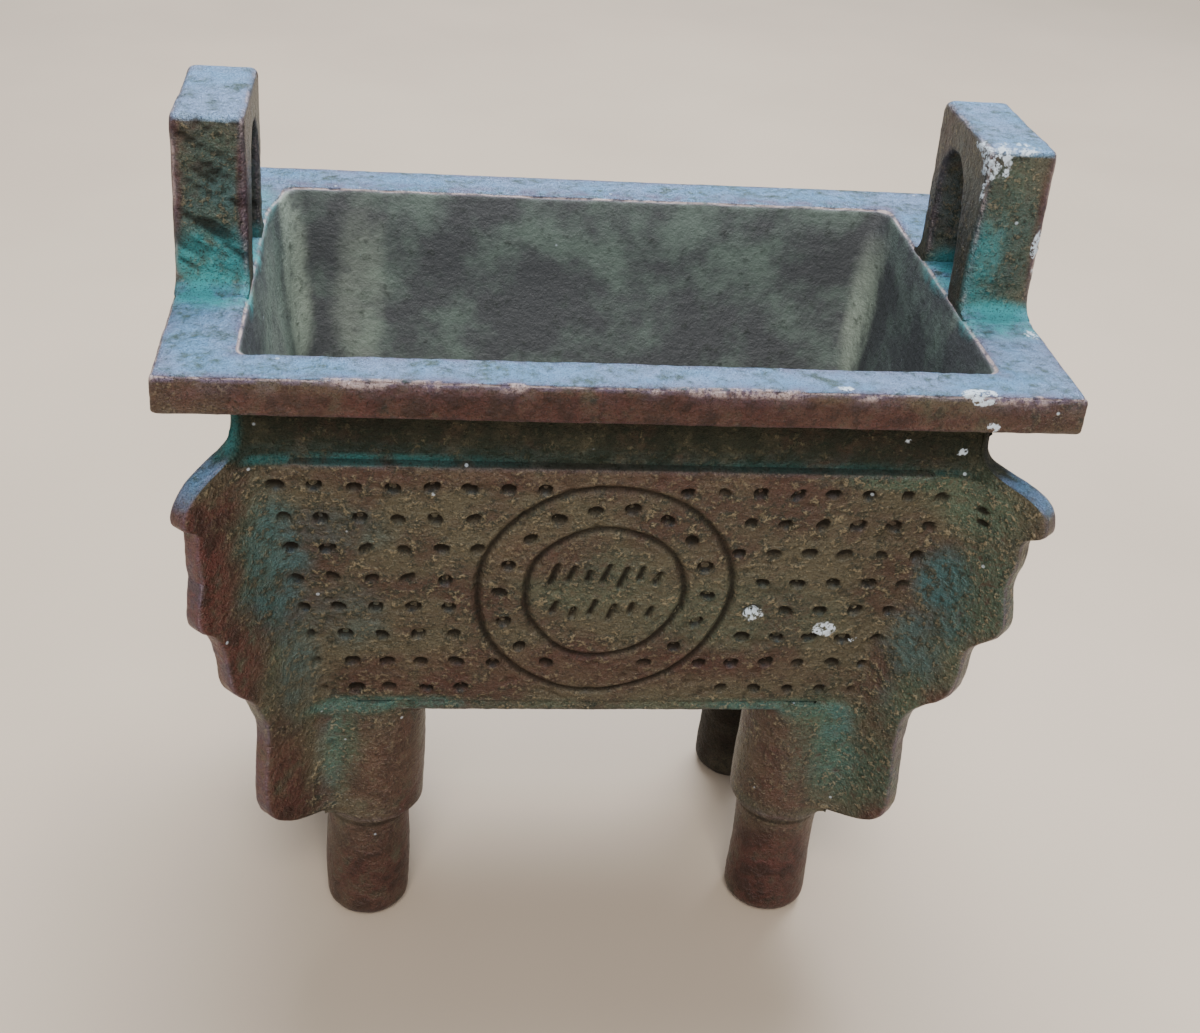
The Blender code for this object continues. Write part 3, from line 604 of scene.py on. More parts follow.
def shell_mesh(name, shells, fields):
    """One mesh of closed shells: quads between neighbouring rings and a fan to the middle at both ends."""
    coords, loops, starts, values = [], [], [], {key: [] for key in fields[0]}
    vertex_count = loop_count = 0
    for grid, field in zip(shells, fields):
        rows, columns = grid.shape[:2]
        middles = np.stack([grid[0].mean(axis=0), grid[-1].mean(axis=0)])
        coords.append(np.concatenate([grid.reshape(-1, 3), middles]))
        for key, value in field.items():
            values[key].append(np.concatenate([value.ravel(), [value[0].mean(), value[-1].mean()]]))
        index = np.arange(rows * columns).reshape(rows, columns) + vertex_count
        right = np.roll(index, -1, axis=1)
        quads = np.stack([index[:-1], right[:-1], right[1:], index[1:]], axis=-1).reshape(-1, 4)
        low = np.full(columns, vertex_count + rows * columns)
        high = low + 1
        fans = np.concatenate([
            np.stack([low, right[0], index[0]], axis=-1),
            np.stack([high, index[-1], right[-1]], axis=-1),
        ])
        if turned_outwards(grid) < 0:
            quads = quads[:, ::-1]
            fans = fans[:, ::-1]
        loops += [quads.ravel(), fans.ravel()]
        starts.append(loop_count + np.arange(len(quads)) * 4)
        loop_count += quads.size
        starts.append(loop_count + np.arange(len(fans)) * 3)
        loop_count += fans.size
        vertex_count += rows * columns + 2
    mesh = bpy.data.meshes.new(name)
    corner_vertices = np.concatenate(loops)
    face_starts = np.concatenate(starts)
    mesh.vertices.add(vertex_count)
    mesh.vertices.foreach_set("co", np.concatenate(coords).astype(np.float32).ravel())
    mesh.loops.add(len(corner_vertices))
    mesh.loops.foreach_set("vertex_index", corner_vertices.astype(np.int32))
    mesh.polygons.add(len(face_starts))
    mesh.polygons.foreach_set("loop_start", face_starts.astype(np.int32))
    mesh.polygons.foreach_set("use_smooth", np.ones(len(face_starts), dtype=bool))
    mesh.update(calc_edges=True)
    mesh.validate()
    for key, parts in values.items():
        attribute = mesh.attributes.new(key, "FLOAT", "POINT")
        attribute.data.foreach_set("value", np.concatenate(parts).astype(np.float32))
    return mesh


def add_piece(context, name, shells, fields):
    """A named piece of the casting with its finish, which stands for the solid."""
    mesh = shell_mesh(name, shells, fields)
    mesh.materials.append(patinated_bronze(context.scene.burner_colours))
    piece = bpy.data.objects.new(name, mesh)
    context.scene.collection.objects.link(piece)
    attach(piece, BODY)
    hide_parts(NODE)
    return piece


def profile(corners, turn_rows=5):
    """Levels along a profile with rounded corners, and how worn and how hollow each level is.

    Each corner holds a level (height, half length, half width, corner radius), the reach of its rounding,
    its wear (positive on an edge, negative in a hollow) and the number of rows that follow. A rounding is
    the curve (1-t)^2 a + 2t(1-t) b + t^2 c, from a point before the corner b to a point after it.
    """
    levels, wear = [], []
    points = [np.array(corner[0]) for corner in corners]
    leave = points[0]
    for i, (_, reach, worn, rows) in enumerate(corners[:-1]):
        ahead = points[i + 1] - points[i]
        if reach > 0:
            back = points[i - 1] - points[i]
            arrive = points[i] + back * min(reach / np.linalg.norm(back[:2]), 0.5)
            leave = points[i] + ahead * min(reach / np.linalg.norm(ahead[:2]), 0.5)
            t = (np.arange(turn_rows) / turn_rows)[:, None]
            levels.append((1 - t) ** 2 * arrive + 2 * t * (1 - t) * points[i] + t * t * leave)
            wear.append(worn * np.sin(math.pi * (t[:, 0] * 0.8 + 0.1)))
        else:
            leave = points[i]
        following = corners[i + 1][1]
        stop = points[i + 1]
        if following > 0:
            stop = points[i + 1] - ahead * min(following / np.linalg.norm(ahead[:2]), 0.5)
        t = (np.arange(rows) / rows)[:, None]
        levels.append((1 - t) * leave + t * stop)
        wear.append(np.zeros(rows))
    levels.append(points[-1][None])
    wear.append(np.zeros(1))
    wear = np.concatenate(wear)
    return np.concatenate(levels), np.clip(wear, 0, 1), np.clip(-wear, 0, 1)


def rounded_rings(levels, counts):
    """Rounded rectangles at each level, from the front's left end round by the right, in whole arrays."""
    front, corner, end, back = counts
    z, half_x, half_y, radius = (levels[:, i, None] for i in range(4))
    straight_x, straight_y = half_x - radius, half_y - radius
    ring_x, ring_y = [], []

    def side(count, from_x, from_y, to_x, to_y):
        t = np.arange(count)[None] / count
        ring_x.append(from_x + (to_x - from_x) * t)
        ring_y.append(from_y + (to_y - from_y) * t)

    def turn(start, side_x, side_y):
        angle = start + np.arange(corner)[None] / corner * math.pi / 2
        ring_x.append(side_x * straight_x + radius * np.cos(angle))
        ring_y.append(side_y * straight_y + radius * np.sin(angle))

    side(front, -straight_x, -half_y, straight_x, -half_y)
    turn(-math.pi / 2, 1, -1)
    side(end, half_x, -straight_y, half_x, straight_y)
    turn(0.0, 1, 1)
    side(back, straight_x, half_y, -straight_x, half_y)
    turn(math.pi / 2, -1, 1)
    side(end, -half_x, straight_y, -half_x, -straight_y)
    turn(math.pi, -1, -1)
    x = np.concatenate(ring_x, axis=1)
    y = np.concatenate(ring_y, axis=1)
    return np.stack([x, y, np.broadcast_to(z, x.shape)], axis=-1)


def pit_places(sizes, plan, finished):
    """x and height on the slope of every pit: rows that follow the taper, and a ring between the ovals."""
    places = []
    taper = (plan.top_x - plan.foot_x) / plan.slope
    row_step = (plan.slope - PIT_TOP - PIT_FOOT) / (PIT_ROWS - 1)
    for row in range(PIT_ROWS):
        drop = PIT_TOP + row * row_step
        height = plan.slope / 2 - drop
        outermost = plan.top_x - PIT_MARGIN - taper * drop
        start = LAST_ROW_START if row == PIT_ROWS - 1 else 0.0
        for x in np.arange(outermost, start, -sizes.pit_pitch):
            across = x / (sizes.oval_half_length + PIT_CLEARANCE)
            up = (height - OVAL_RISE) / (sizes.oval_half_height + PIT_CLEARANCE_TOP)
            if across**2 + up**2 > 1:
                places += [(x, height), (-x, height)]
    if finished:
        middle_x = (sizes.oval_half_length + sizes.inner_half_length) / 2
        middle_y = (sizes.oval_half_height + sizes.inner_half_height) / 2
        for step in range(RING_PITS - RING_PITS_OMITTED):
            angle = -math.pi / 2 + 2 * math.pi * (step + (RING_PITS_OMITTED + 1) / 2) / RING_PITS
            places.append((middle_x * math.cos(angle), OVAL_RISE + middle_y * math.sin(angle)))
    return places


def pit_relief(x, height, sizes, plan, finished):
    """Depth and darkness of the pits. A pit is D(1 - q)^0.6 inside q = 1, with a slight lip round it.

    q is the sum of the 2.3rd powers of the shares of its half width and half height, and each pit has its
    own small shift, size and depth.
    """
    depth = np.zeros(x.shape)
    dark = np.zeros(x.shape)
    random = np.random.default_rng(5)
    for pit_x, pit_height in pit_places(sizes, plan, finished):
        shift_x, shift_y = random.normal(0, PIT_STRAY, 2)
        wide, tall = 1 + random.normal(0, PIT_SIZE_SPREAD, 2)
        deep = random.choice(PIT_DEPTHS) * (1 + random.normal(0, PIT_DEPTH_SPREAD))
        lean = random.normal(0, PIT_LEAN_SPREAD)
        near = (np.abs(x - pit_x) < PIT_REACH) & (np.abs(height - pit_height) < PIT_REACH)
        across = x[near] - pit_x - shift_x
        up = height[near] - pit_height - shift_y - lean * across
        q = (np.abs(across) / (sizes.pit_half_width * wide)) ** 2.3
        q = q + (np.abs(up) / (sizes.pit_half_height * tall)) ** 2.3
        bowl = np.clip(1 - q, 0, 1) ** 0.6
        lip = np.exp(-(((np.sqrt(q) - 1.3) / 0.30) ** 2))
        depth[near] = np.maximum(depth[near], sizes.pit_depth * deep * bowl) - PIT_LIP * lip
        # Painted shade: each pit is darker in its upper half, as if lit from above
        upper = np.clip(0.86 + 0.50 * up / sizes.pit_half_height, 0.55, 1.0)
        dark[near] = np.maximum(dark[near], np.clip(bowl * 2.0, 0, 1) * upper * (0.45 + 0.55 * deep))
    return depth, dark


def groove_relief(x, height, half_length, half_height, sizes):
    """Depth and darkness of an oval line, D exp(-(d/w)^2) at a distance d from it, cut by hand."""
    centred = height - OVAL_RISE
    share = np.sqrt((x / half_length) ** 2 + (centred / half_height) ** 2)
    reach = np.hypot(x, centred) / np.maximum(share, 1e-6)
    angle = np.arctan2(centred, x)
    slow, quick = GROOVE_WANDER
    wander = slow * np.sin(3 * angle + 0.7) + quick * np.sin(7 * angle + half_length * 900)
    distance = (share - 1) * reach - wander
    width = sizes.groove_width / 2
    line = np.exp(-((distance / width) ** 2))
    shoulder = np.exp(-(((np.abs(distance) - 1.9 * width) / (0.7 * width)) ** 2))
    return sizes.groove_depth * line - GROOVE_BANK * shoulder, line


def stroke_relief(x, height, sizes):
    """Depth of two rows of short strokes that lean one way, each D exp(-(d/w)^2) at a distance d from it."""
    proud = np.zeros(x.shape)
    line = np.zeros(x.shape)
    for row, (middle, count, half_span, longest) in enumerate(STROKE_ROWS):
        for i in range(count):
            phase = 1.9 * row
            lean = -STROKE_LEAN * (1 + 0.25 * math.sin(2.3 * i + phase))
            half = longest * (0.72 + 0.28 * math.cos(1.7 * i + phase)) / 2
            start = half_span * (2 * i / (count - 1) - 1)
            across = x - start
            up = height - OVAL_RISE - middle - STROKE_STRAY * math.sin(2.9 * i + phase)
            along = np.clip(up * math.cos(lean) - across * math.sin(lean), -half, half)
            distance = np.hypot(across + along * math.sin(lean), up - along * math.cos(lean))
            line = np.maximum(line, np.exp(-((distance / STROKE_HALF_WIDTH) ** 2)))
            bank = np.exp(-(((distance - STROKE_BANK_PLACE) / STROKE_BANK_WIDTH) ** 2))
            proud = np.maximum(proud, bank)
    return 1.1 * sizes.groove_depth * line - STROKE_BANK * proud * (1 - line), line


def panel_relief(points, side, sizes, plan, finished=True):
    """Depth and darkness of everything sunk into a long panel, from the places on its slope."""
    x = -side * points[..., 0]
    share = (points[..., 2] - plan.band_top) / sizes.panel_height
    height = (share - 0.5) * plan.slope
    depth, dark = pit_relief(x, height, sizes, plan, finished)
    grooves = [(sizes.oval_half_length, sizes.oval_half_height)]
    if finished:
        grooves.append((sizes.inner_half_length, sizes.inner_half_height))
        stroke, line = stroke_relief(x, height, sizes)
        depth = depth + stroke
        dark = np.maximum(dark, 0.75 * line)
    for half_length, half_height in grooves:
        groove, line = groove_relief(x, height, half_length, half_height, sizes)
        depth = depth + groove
        dark = np.maximum(dark, 0.70 * line)
    dents = layered_noise(points, DENT_CELL, 131, 2)
    depth = depth + DENT_DEPTH * ease((dents - 0.62) / 0.18)
    dark = np.maximum(dark, 0.35 * ease((dents - 0.68) / 0.12))
    inside = ease((0.5 - np.abs(share - 0.5)) / 0.012)
    return depth * inside, dark * inside


def panel_normal(side, sizes, plan):
    """The direction that a long panel faces."""
    lean = plan.top_y - plan.foot_y
    return np.array([0.0, side * sizes.panel_height, -lean]) / plan.slope


def wall_shell(sizes, plan, side):
    """Half of the band and the tapered walls with the relief of one long panel, closed inside the wall.

    A profile is carried round rounded rectangles. Side is -1 for the front and 1 for the back. The shell
    runs all round, and past the middle of the end walls it sinks into the other half by a little of its
    distance.
    """
    under = sizes.leg_clearance + (BACK_RAISED if side > 0 else 0.0)
    band_x, band_y = plan.foot_x - sizes.band_inset, plan.foot_y - sizes.band_inset
    hidden = WALL_HIDDEN
    corner = WALL_CORNER
    corners = [
        ((under, POLE, POLE, POLE / 2), 0, 0, 9),
        ((under, band_x, band_y, corner), 0.0005, 0.25, 4),
        ((plan.band_top - 0.0002, band_x, band_y, corner), 0.0002, -0.4, 1),
        ((plan.band_top, plan.foot_x, plan.foot_y, corner), 0.00025, 0.3, 134),
        ((plan.panel_top, plan.top_x, plan.top_y, corner), 0.0006, 0.35, 3),
        ((plan.panel_top + 0.0009, plan.neck_x - 0.0006, plan.neck_y - 0.0006, corner), 0, 0, 1),
        ((plan.panel_top - 0.0010, plan.top_x - hidden, plan.top_y - hidden, corner), 0, 0, 1),
        ((plan.band_top, plan.foot_x - hidden, plan.foot_y - hidden, corner), 0, 0, 1),
        ((under + 0.0009, band_x - hidden, band_y - hidden, corner), 0, 0, 1),
        ((under + 0.0009, POLE, POLE, POLE / 2), 0, 0, 1),
    ]
    levels, worn, recess = profile(corners)
    grid = rounded_rings(levels, WALL_COUNTS)
    if side > 0:
        grid = grid * np.array([-1.0, -1.0, 1.0])
    ledge = ease((levels[:, 0] - plan.panel_top + 0.0003) / 0.0004)
    worn = np.broadcast_to(worn[:, None], grid.shape[:2]).copy()
    recess = np.broadcast_to(np.maximum(recess, 0.5 * ledge)[:, None], grid.shape[:2]).copy()
    place = (PANEL_LEVELS, slice(0, WALL_COUNTS[0]))
    depth, dark = panel_relief(grid[place], side, sizes, plan, finished=side < 0)
    grid[place] -= panel_normal(side, sizes, plan) * depth[..., None]
    recess[place] = np.maximum(recess[place], dark)
    past = np.clip(-side * grid[..., 1] + HALF_OVERLAP, 0, HALF_REACH) * HALF_SINK
    grid[..., 0] -= np.sign(grid[..., 0]) * np.minimum(past, np.abs(grid[..., 0]) * HALF_MOST)
    grid[..., 1] += side * np.minimum(past, np.abs(grid[..., 1]) * HALF_MOST)
    made, fields = weather(grid, worn, recess)
    # The painted sky reflection is kept faint on the panel's relief
    fields["sky_sheen_mask"][place] *= 0.2
    return made, fields


def rim_shell(sizes, plan):
    """The neck, the rim plate and the lining of the bowl: a profile carried round rounded rectangles.

    A hidden surface inside the wall closes it. The lining's back is drawn in by more and more towards the
    rim.
    """
    hidden = LINING_HIDDEN
    wall = sizes.panel_wall
    edge = sizes.worn_edge
    neck_in_x, neck_in_y = plan.neck_x - 0.0015, plan.neck_y - 0.0015
    corners = [
        ((sizes.leg_clearance + 0.0018, POLE, POLE, POLE / 2), 0, 0, 1),
        ((sizes.leg_clearance + 0.0018, plan.foot_x - hidden, plan.foot_y - hidden, 0.001), 0, 0, 1),
        ((plan.panel_top - 0.0012, plan.top_x - hidden, plan.top_y - hidden, 0.001), 0, 0, 1),
        ((plan.panel_top - 0.0010, plan.neck_x, plan.neck_y, 0.0012), 0, 0, 14),
        ((plan.rim_under, plan.neck_x, plan.neck_y, 0.0014), sizes.cove, -0.75, 8),
        ((plan.rim_under, RIM_X, sizes.rim_half_width, 0.0006), 0.0006, 0.30, 11),
        ((plan.rim_top, RIM_X, sizes.rim_half_width, 0.0006), edge, 1.0, 16),
        ((plan.rim_top, plan.opening_x, plan.opening_y, 0.0015), edge, 1.0, 5),
        ((plan.rim_under, neck_in_x, neck_in_y, 0.0026), 0.0020, 0, 4),
        ((plan.panel_top, plan.top_x - wall, plan.top_y - wall, 0.0034), 0.0030, 0, 26),
        ((plan.floor, plan.foot_x - wall, plan.foot_y - wall, 0.0036), 0.0030, -0.5, 14),
        ((plan.floor, POLE, POLE, POLE / 2), 0, 0, 1),
    ]
    levels, worn, recess = profile(corners, turn_rows=6)
    grid = rounded_rings(levels, RIM_COUNTS)
    inner = np.arange(len(levels)) >= np.argmax(levels[:, 0]) + 12
    lining = ((levels[:, 1] < plan.opening_x + 0.0004) & inner)[:, None] * np.ones((1, grid.shape[1]))
    lip = (inner * np.clip((levels[:, 0] - plan.floor) / (plan.rim_top - plan.floor), 0, 1))[:, None]
    grid[..., 1] -= BACK_LIP_DRAWN * ease(grid[..., 1] / 0.012) * lip
    back_left = ease((-grid[..., 0] - 0.030) / 0.010) * ease((grid[..., 1] - 0.014) / 0.010) * lip
    grid[..., 0] += BACK_LEFT_DRAWN * back_left
    worn = np.broadcast_to(worn[:, None], grid.shape[:2])
    recess = np.broadcast_to(recess[:, None], grid.shape[:2])
    made, fields = weather(grid, worn, recess, wear_depth=RIM_WEAR)
    fields["lining"] = lining
    x, y = np.abs(grid[..., 0]), np.abs(grid[..., 1])
    outer = np.minimum(RIM_X - x, sizes.rim_half_width - y)
    inner_edge = np.maximum(x - plan.opening_x, y - plan.opening_y)
    rim_edge = np.exp(-((np.minimum(outer, inner_edge) / RIM_EDGE_WIDTH) ** 2))
    fields["edge_strip"] = rim_edge * (levels[:, 0] > plan.rim_top - 0.0009)[:, None] * (1 - lining)
    # A ragged band of wear along the rim's front lip, painted bright as rubbed metal and as a highlight
    crumpled = ease((layered_noise(grid, LIP_CELL, 151) - 0.42) / 0.16) * (1 - lining)
    to_edge = np.hypot(grid[..., 1] + sizes.rim_half_width, 0.7 * (plan.rim_top - grid[..., 2]))
    fields["worn"] = np.maximum(fields["worn"], crumpled * np.exp(-((to_edge / LIP_WIDTH) ** 2)))
    return made, fields


def fin_outline(points, rows):
    """Height and reach of a fin's edge at many levels, evenly spaced along it.

    The measured corners are joined by straight lines, and each place is then the mean of its neighbours,
    weighed by exp(-(d/w)^2), which rounds the corners.
    """
    reach, z = np.array(points).T / 1000
    travelled = np.concatenate([[0], np.cumsum(np.hypot(np.diff(z), np.diff(reach)))])
    fine = np.linspace(0, travelled[-1], FIN_STEPS)
    step = fine[1]
    offsets = np.arange(-FIN_WINDOW, FIN_WINDOW + 1) * step
    weights = np.exp(-((offsets / FIN_SMOOTHING) ** 2))
    weights = weights / weights.sum()
    soft = []
    for values in (z, reach):
        padded = np.pad(np.interp(fine, travelled, values), FIN_WINDOW, mode="edge")
        soft.append(np.convolve(padded, weights, mode="valid"))
    even = np.linspace(0, travelled[-1], rows)
    return np.interp(even, fine, soft[0]), np.interp(even, fine, soft[1])


def flare_curve(lead, on_wall, corner, on_blade, sink):
    """A lead-in that rises out of the wall, then a quadratic curve from the wall to the blade, then its end.

    The lead-in is sunk by (1-u)^2 times the given vector. The curve is (1-t)^2 a + 2t(1-t) b + t^2 c.
    """
    u = np.linspace(0, 1, LEAD_POINTS)[None, :-1, None]
    start = lead[:, None] * (1 - u) + on_wall[:, None] * u + sink[:, None] * (1 - u) ** 2
    t = np.linspace(0, 1, FLARE_POINTS)[None, :, None]
    curve = (1 - t) ** 2 * on_wall[:, None] + 2 * t * (1 - t) * corner[:, None] + t * t * on_blade[:, None]
    return np.concatenate([start, curve], axis=1)


def fin_shell(side_x, side_y, sizes, plan, rows=215):
    """One fin: a flat blade on the diagonal, whose faces flare in a hollow curve into both walls.

    Each level is a closed section, given by distances out along the blade and across it, which a turn by 45
    degrees puts into place. Below the bowl the blade flares into the round thigh, and at the neck it thins
    to a low rib.
    """
    points = LEFT_FIN if side_x * side_y > 0 else RIGHT_FIN
    z, reach = fin_outline(points, rows)
    diagonal = math.sqrt(0.5)
    seed = int(3 + side_x + 5 * side_y)
    wave = np.stack([np.full(rows, 0.01 * seed), np.zeros(rows), z], axis=1)
    rib = ease((z - plan.panel_top - 0.0005) / 0.0030)
    half = sizes.fin_thickness / 2 * (1 - 0.5 * rib)
    half = half - FIN_THINNED * layered_noise(wave + 0.05, FIN_THINNED_CELL, seed + 7)
    edge = FIN_EDGE + FIN_EDGE_SPREAD * layered_noise(wave + 0.09, FIN_EDGE_CELL, seed + 9)
    reach = reach - FIN_RAGGED * layered_noise(wave, FIN_RAGGED_CELL, seed)
    wall_x, wall_y = plan.wall(z)
    on_bowl = ease((z - sizes.leg_clearance + 0.0003) / sizes.band_height)[:, None]
    flare_out = sizes.fin_flare_out * (1 - 0.75 * rib)
    flare_wall = sizes.fin_flare_wall * (1 - 0.55 * rib)

    def at(out, across):
        x = plan.top_x + (out + across) * diagonal
        y = plan.top_y + (out - across) * diagonal
        return np.stack([x, y], axis=-1)

    thigh_y = plan.leg_y - THIGH_DRAWN_IN - plan.top_y
    leg_out = ((plan.leg_x - plan.top_x) + thigh_y) * diagonal
    leg_across = ((plan.leg_x - plan.top_x) - thigh_y) * diagonal

    def face(side, wall, corner_place, wall_step, inward):
        """Points of one face. Side is -1 for the face that looks to the front, 1 for the one to the end."""
        across = side * half
        meet = (wall - corner_place) / diagonal - half
        out = np.minimum(flare_out, 0.8 * np.maximum(reach - meet - edge, 0.0003))
        corner = at(meet, across)
        on_wall = corner + np.array(wall_step) * flare_wall[:, None]
        lead = on_wall + np.array(wall_step) * LEAD_LENGTH
        sink = np.broadcast_to(np.array(inward) * LEAD_SINK, lead.shape)
        bowl = flare_curve(lead, on_wall, corner, at(meet + out, across), sink)

        def on_thigh(angle):
            turned = leg_across + side * sizes.thigh_radius * math.sin(angle)
            return at(np.full(rows, leg_out + sizes.thigh_radius * math.cos(angle)), np.full(rows, turned))

        angle = THIGH_MEETING
        start = on_thigh(angle)
        further = (half - side * leg_across - sizes.thigh_radius * math.sin(angle)) / math.cos(angle)
        cut = leg_out + sizes.thigh_radius * math.cos(angle) - further * math.sin(angle)
        thigh_out = np.minimum(cut + THIGH_FLARE, np.maximum(reach - edge - 0.0004, cut + 0.0001))
        middle = at(np.full(rows, leg_out), np.full(rows, leg_across))
        lead_in = on_thigh(angle + THIGH_LEAD)
        sunk = (middle - lead_in) / sizes.thigh_radius * LEAD_SINK
        thigh = flare_curve(lead_in, start, at(cut, across), at(thigh_out, across), sunk)

        curve = thigh * (1 - on_bowl[..., None]) + bowl * on_bowl[..., None]
        t = np.linspace(0, 1, BLADE_POINTS)[None, 1:]
        blade_start = thigh_out * (1 - on_bowl[:, 0]) + (meet + out) * on_bowl[:, 0]
        blade_out = blade_start[:, None] * (1 - t) + np.maximum(reach - edge, blade_start)[:, None] * t
        blade = at(blade_out, np.broadcast_to(across[:, None], blade_out.shape))
        hidden = leg_out * (1 - on_bowl[:, 0]) + meet * on_bowl[:, 0]
        deep = np.minimum(meet, hidden) - ROOT_DEPTH * (1 - 0.6 * rib)
        root = at(deep, across * 0.4)[:, None]
        return np.concatenate([root, curve, blade], axis=1)

    front = face(-1, wall_y, plan.top_y, (-1.0, 0.0), (0.0, -1.0))
    end = face(1, wall_x, plan.top_x, (0.0, -1.0), (-1.0, 0.0))
    outermost = reach[:, None]
    soft = edge[:, None]
    wide = half[:, None]
    turn = np.linspace(0, math.pi / 2, 6)[None, 1:]
    first = at(outermost - soft * (1 - np.sin(turn)), -wide + soft * (1 - np.cos(turn)))
    second = at(outermost - soft * (1 - np.sin(turn)), wide - soft * (1 - np.cos(turn)))[:, ::-1]
    t = np.linspace(-1, 1, 9)[None, 1:-1]
    strip = at(outermost, (wide - soft) * t)
    section = np.concatenate([front, first, strip, second, end[:, ::-1]], axis=1)
    columns = section.shape[1]
    from_middle = np.abs(np.arange(columns) - (columns - 1) / 2)
    worn = 0.52 * np.exp(-(((from_middle - 6.0) / 1.6) ** 2)) * np.ones((rows, 1))
    recess = np.zeros((rows, columns))
    strip_mask = STRIP_FILM * (from_middle < 7) * np.ones((rows, 1))
    flat_y = section[..., 1]
    heights = np.broadcast_to(z[:, None], flat_y.shape)
    grid = np.stack([side_x * section[..., 0], side_y * flat_y, heights], axis=-1)
    near_wall = slice(1, LEAD_POINTS + FLARE_POINTS - 4)
    depth, dark = panel_relief(grid[:, near_wall], side_y, sizes, plan, finished=False)
    proud = flat_y[:, near_wall] - wall_y[:, None]
    close = ease(1 - proud / 0.0007) * on_bowl
    grid[:, near_wall] -= panel_normal(side_y, sizes, plan) * (depth * close)[..., None]
    recess[:, near_wall] = dark * close
    made, fields = weather(grid, worn, recess, wear_depth=FIN_WEAR)
    fields["edge_strip"] = strip_mask
    return made, fields


def leg_shell(side_x, side_y, sizes, plan, columns=72):
    """A leg and its thigh: circles whose radius and middle follow the height, with a sloping shoulder."""
    thigh_foot = sizes.leg_clearance - sizes.thigh_height
    edge = np.linspace(0, math.pi / 2, 9)
    foot_z = sizes.foot_round * (1 - np.cos(edge))
    foot_radius = sizes.leg_radius - sizes.foot_round * (1 - np.sin(edge))
    upper = np.linspace(sizes.foot_round, sizes.leg_clearance + 0.0015, 96)[1:]
    z = np.concatenate([foot_z, upper])
    share = ease((z - thigh_foot + sizes.shoulder) / sizes.shoulder)
    bulge = LEG_BULGE * np.sin(z * LEG_WAVES + side_x)
    radius = sizes.leg_radius + (sizes.thigh_radius - sizes.leg_radius) * share + bulge
    radius[: len(foot_radius)] = foot_radius + bulge[: len(foot_radius)]
    lean = THIGH_SHIFT_LEFT if side_x * side_y > 0 else THIGH_SHIFT_RIGHT
    middle_x = plan.leg_x + lean * share
    middle_y = plan.leg_y - THIGH_DRAWN_IN * share
    angle = np.arange(columns) / columns * 2 * math.pi
    x = side_x * middle_x[:, None] + radius[:, None] * np.cos(angle)
    y = side_y * middle_y[:, None] + radius[:, None] * np.sin(angle)
    grid = np.stack([x, y, np.broadcast_to(z[:, None], x.shape)], axis=-1)
    recess = 0.55 * np.exp(-(((z - thigh_foot + sizes.shoulder) / CREASE_WIDTH) ** 2))
    worn = 0.35 * np.exp(-(((z - thigh_foot) / CREASE_WIDTH) ** 2))
    worn = worn + 0.25 * np.exp(-(((z - FOOT_WEAR_HEIGHT) / FOOT_WEAR_WIDTH) ** 2))
    spread = np.ones((1, columns))
    made, fields = weather(grid, worn[:, None] * spread, recess[:, None] * spread)
    made[..., 2] = np.maximum(made[..., 2], 0.0)
    made[0, :, 2] = 0.0
    return made, fields


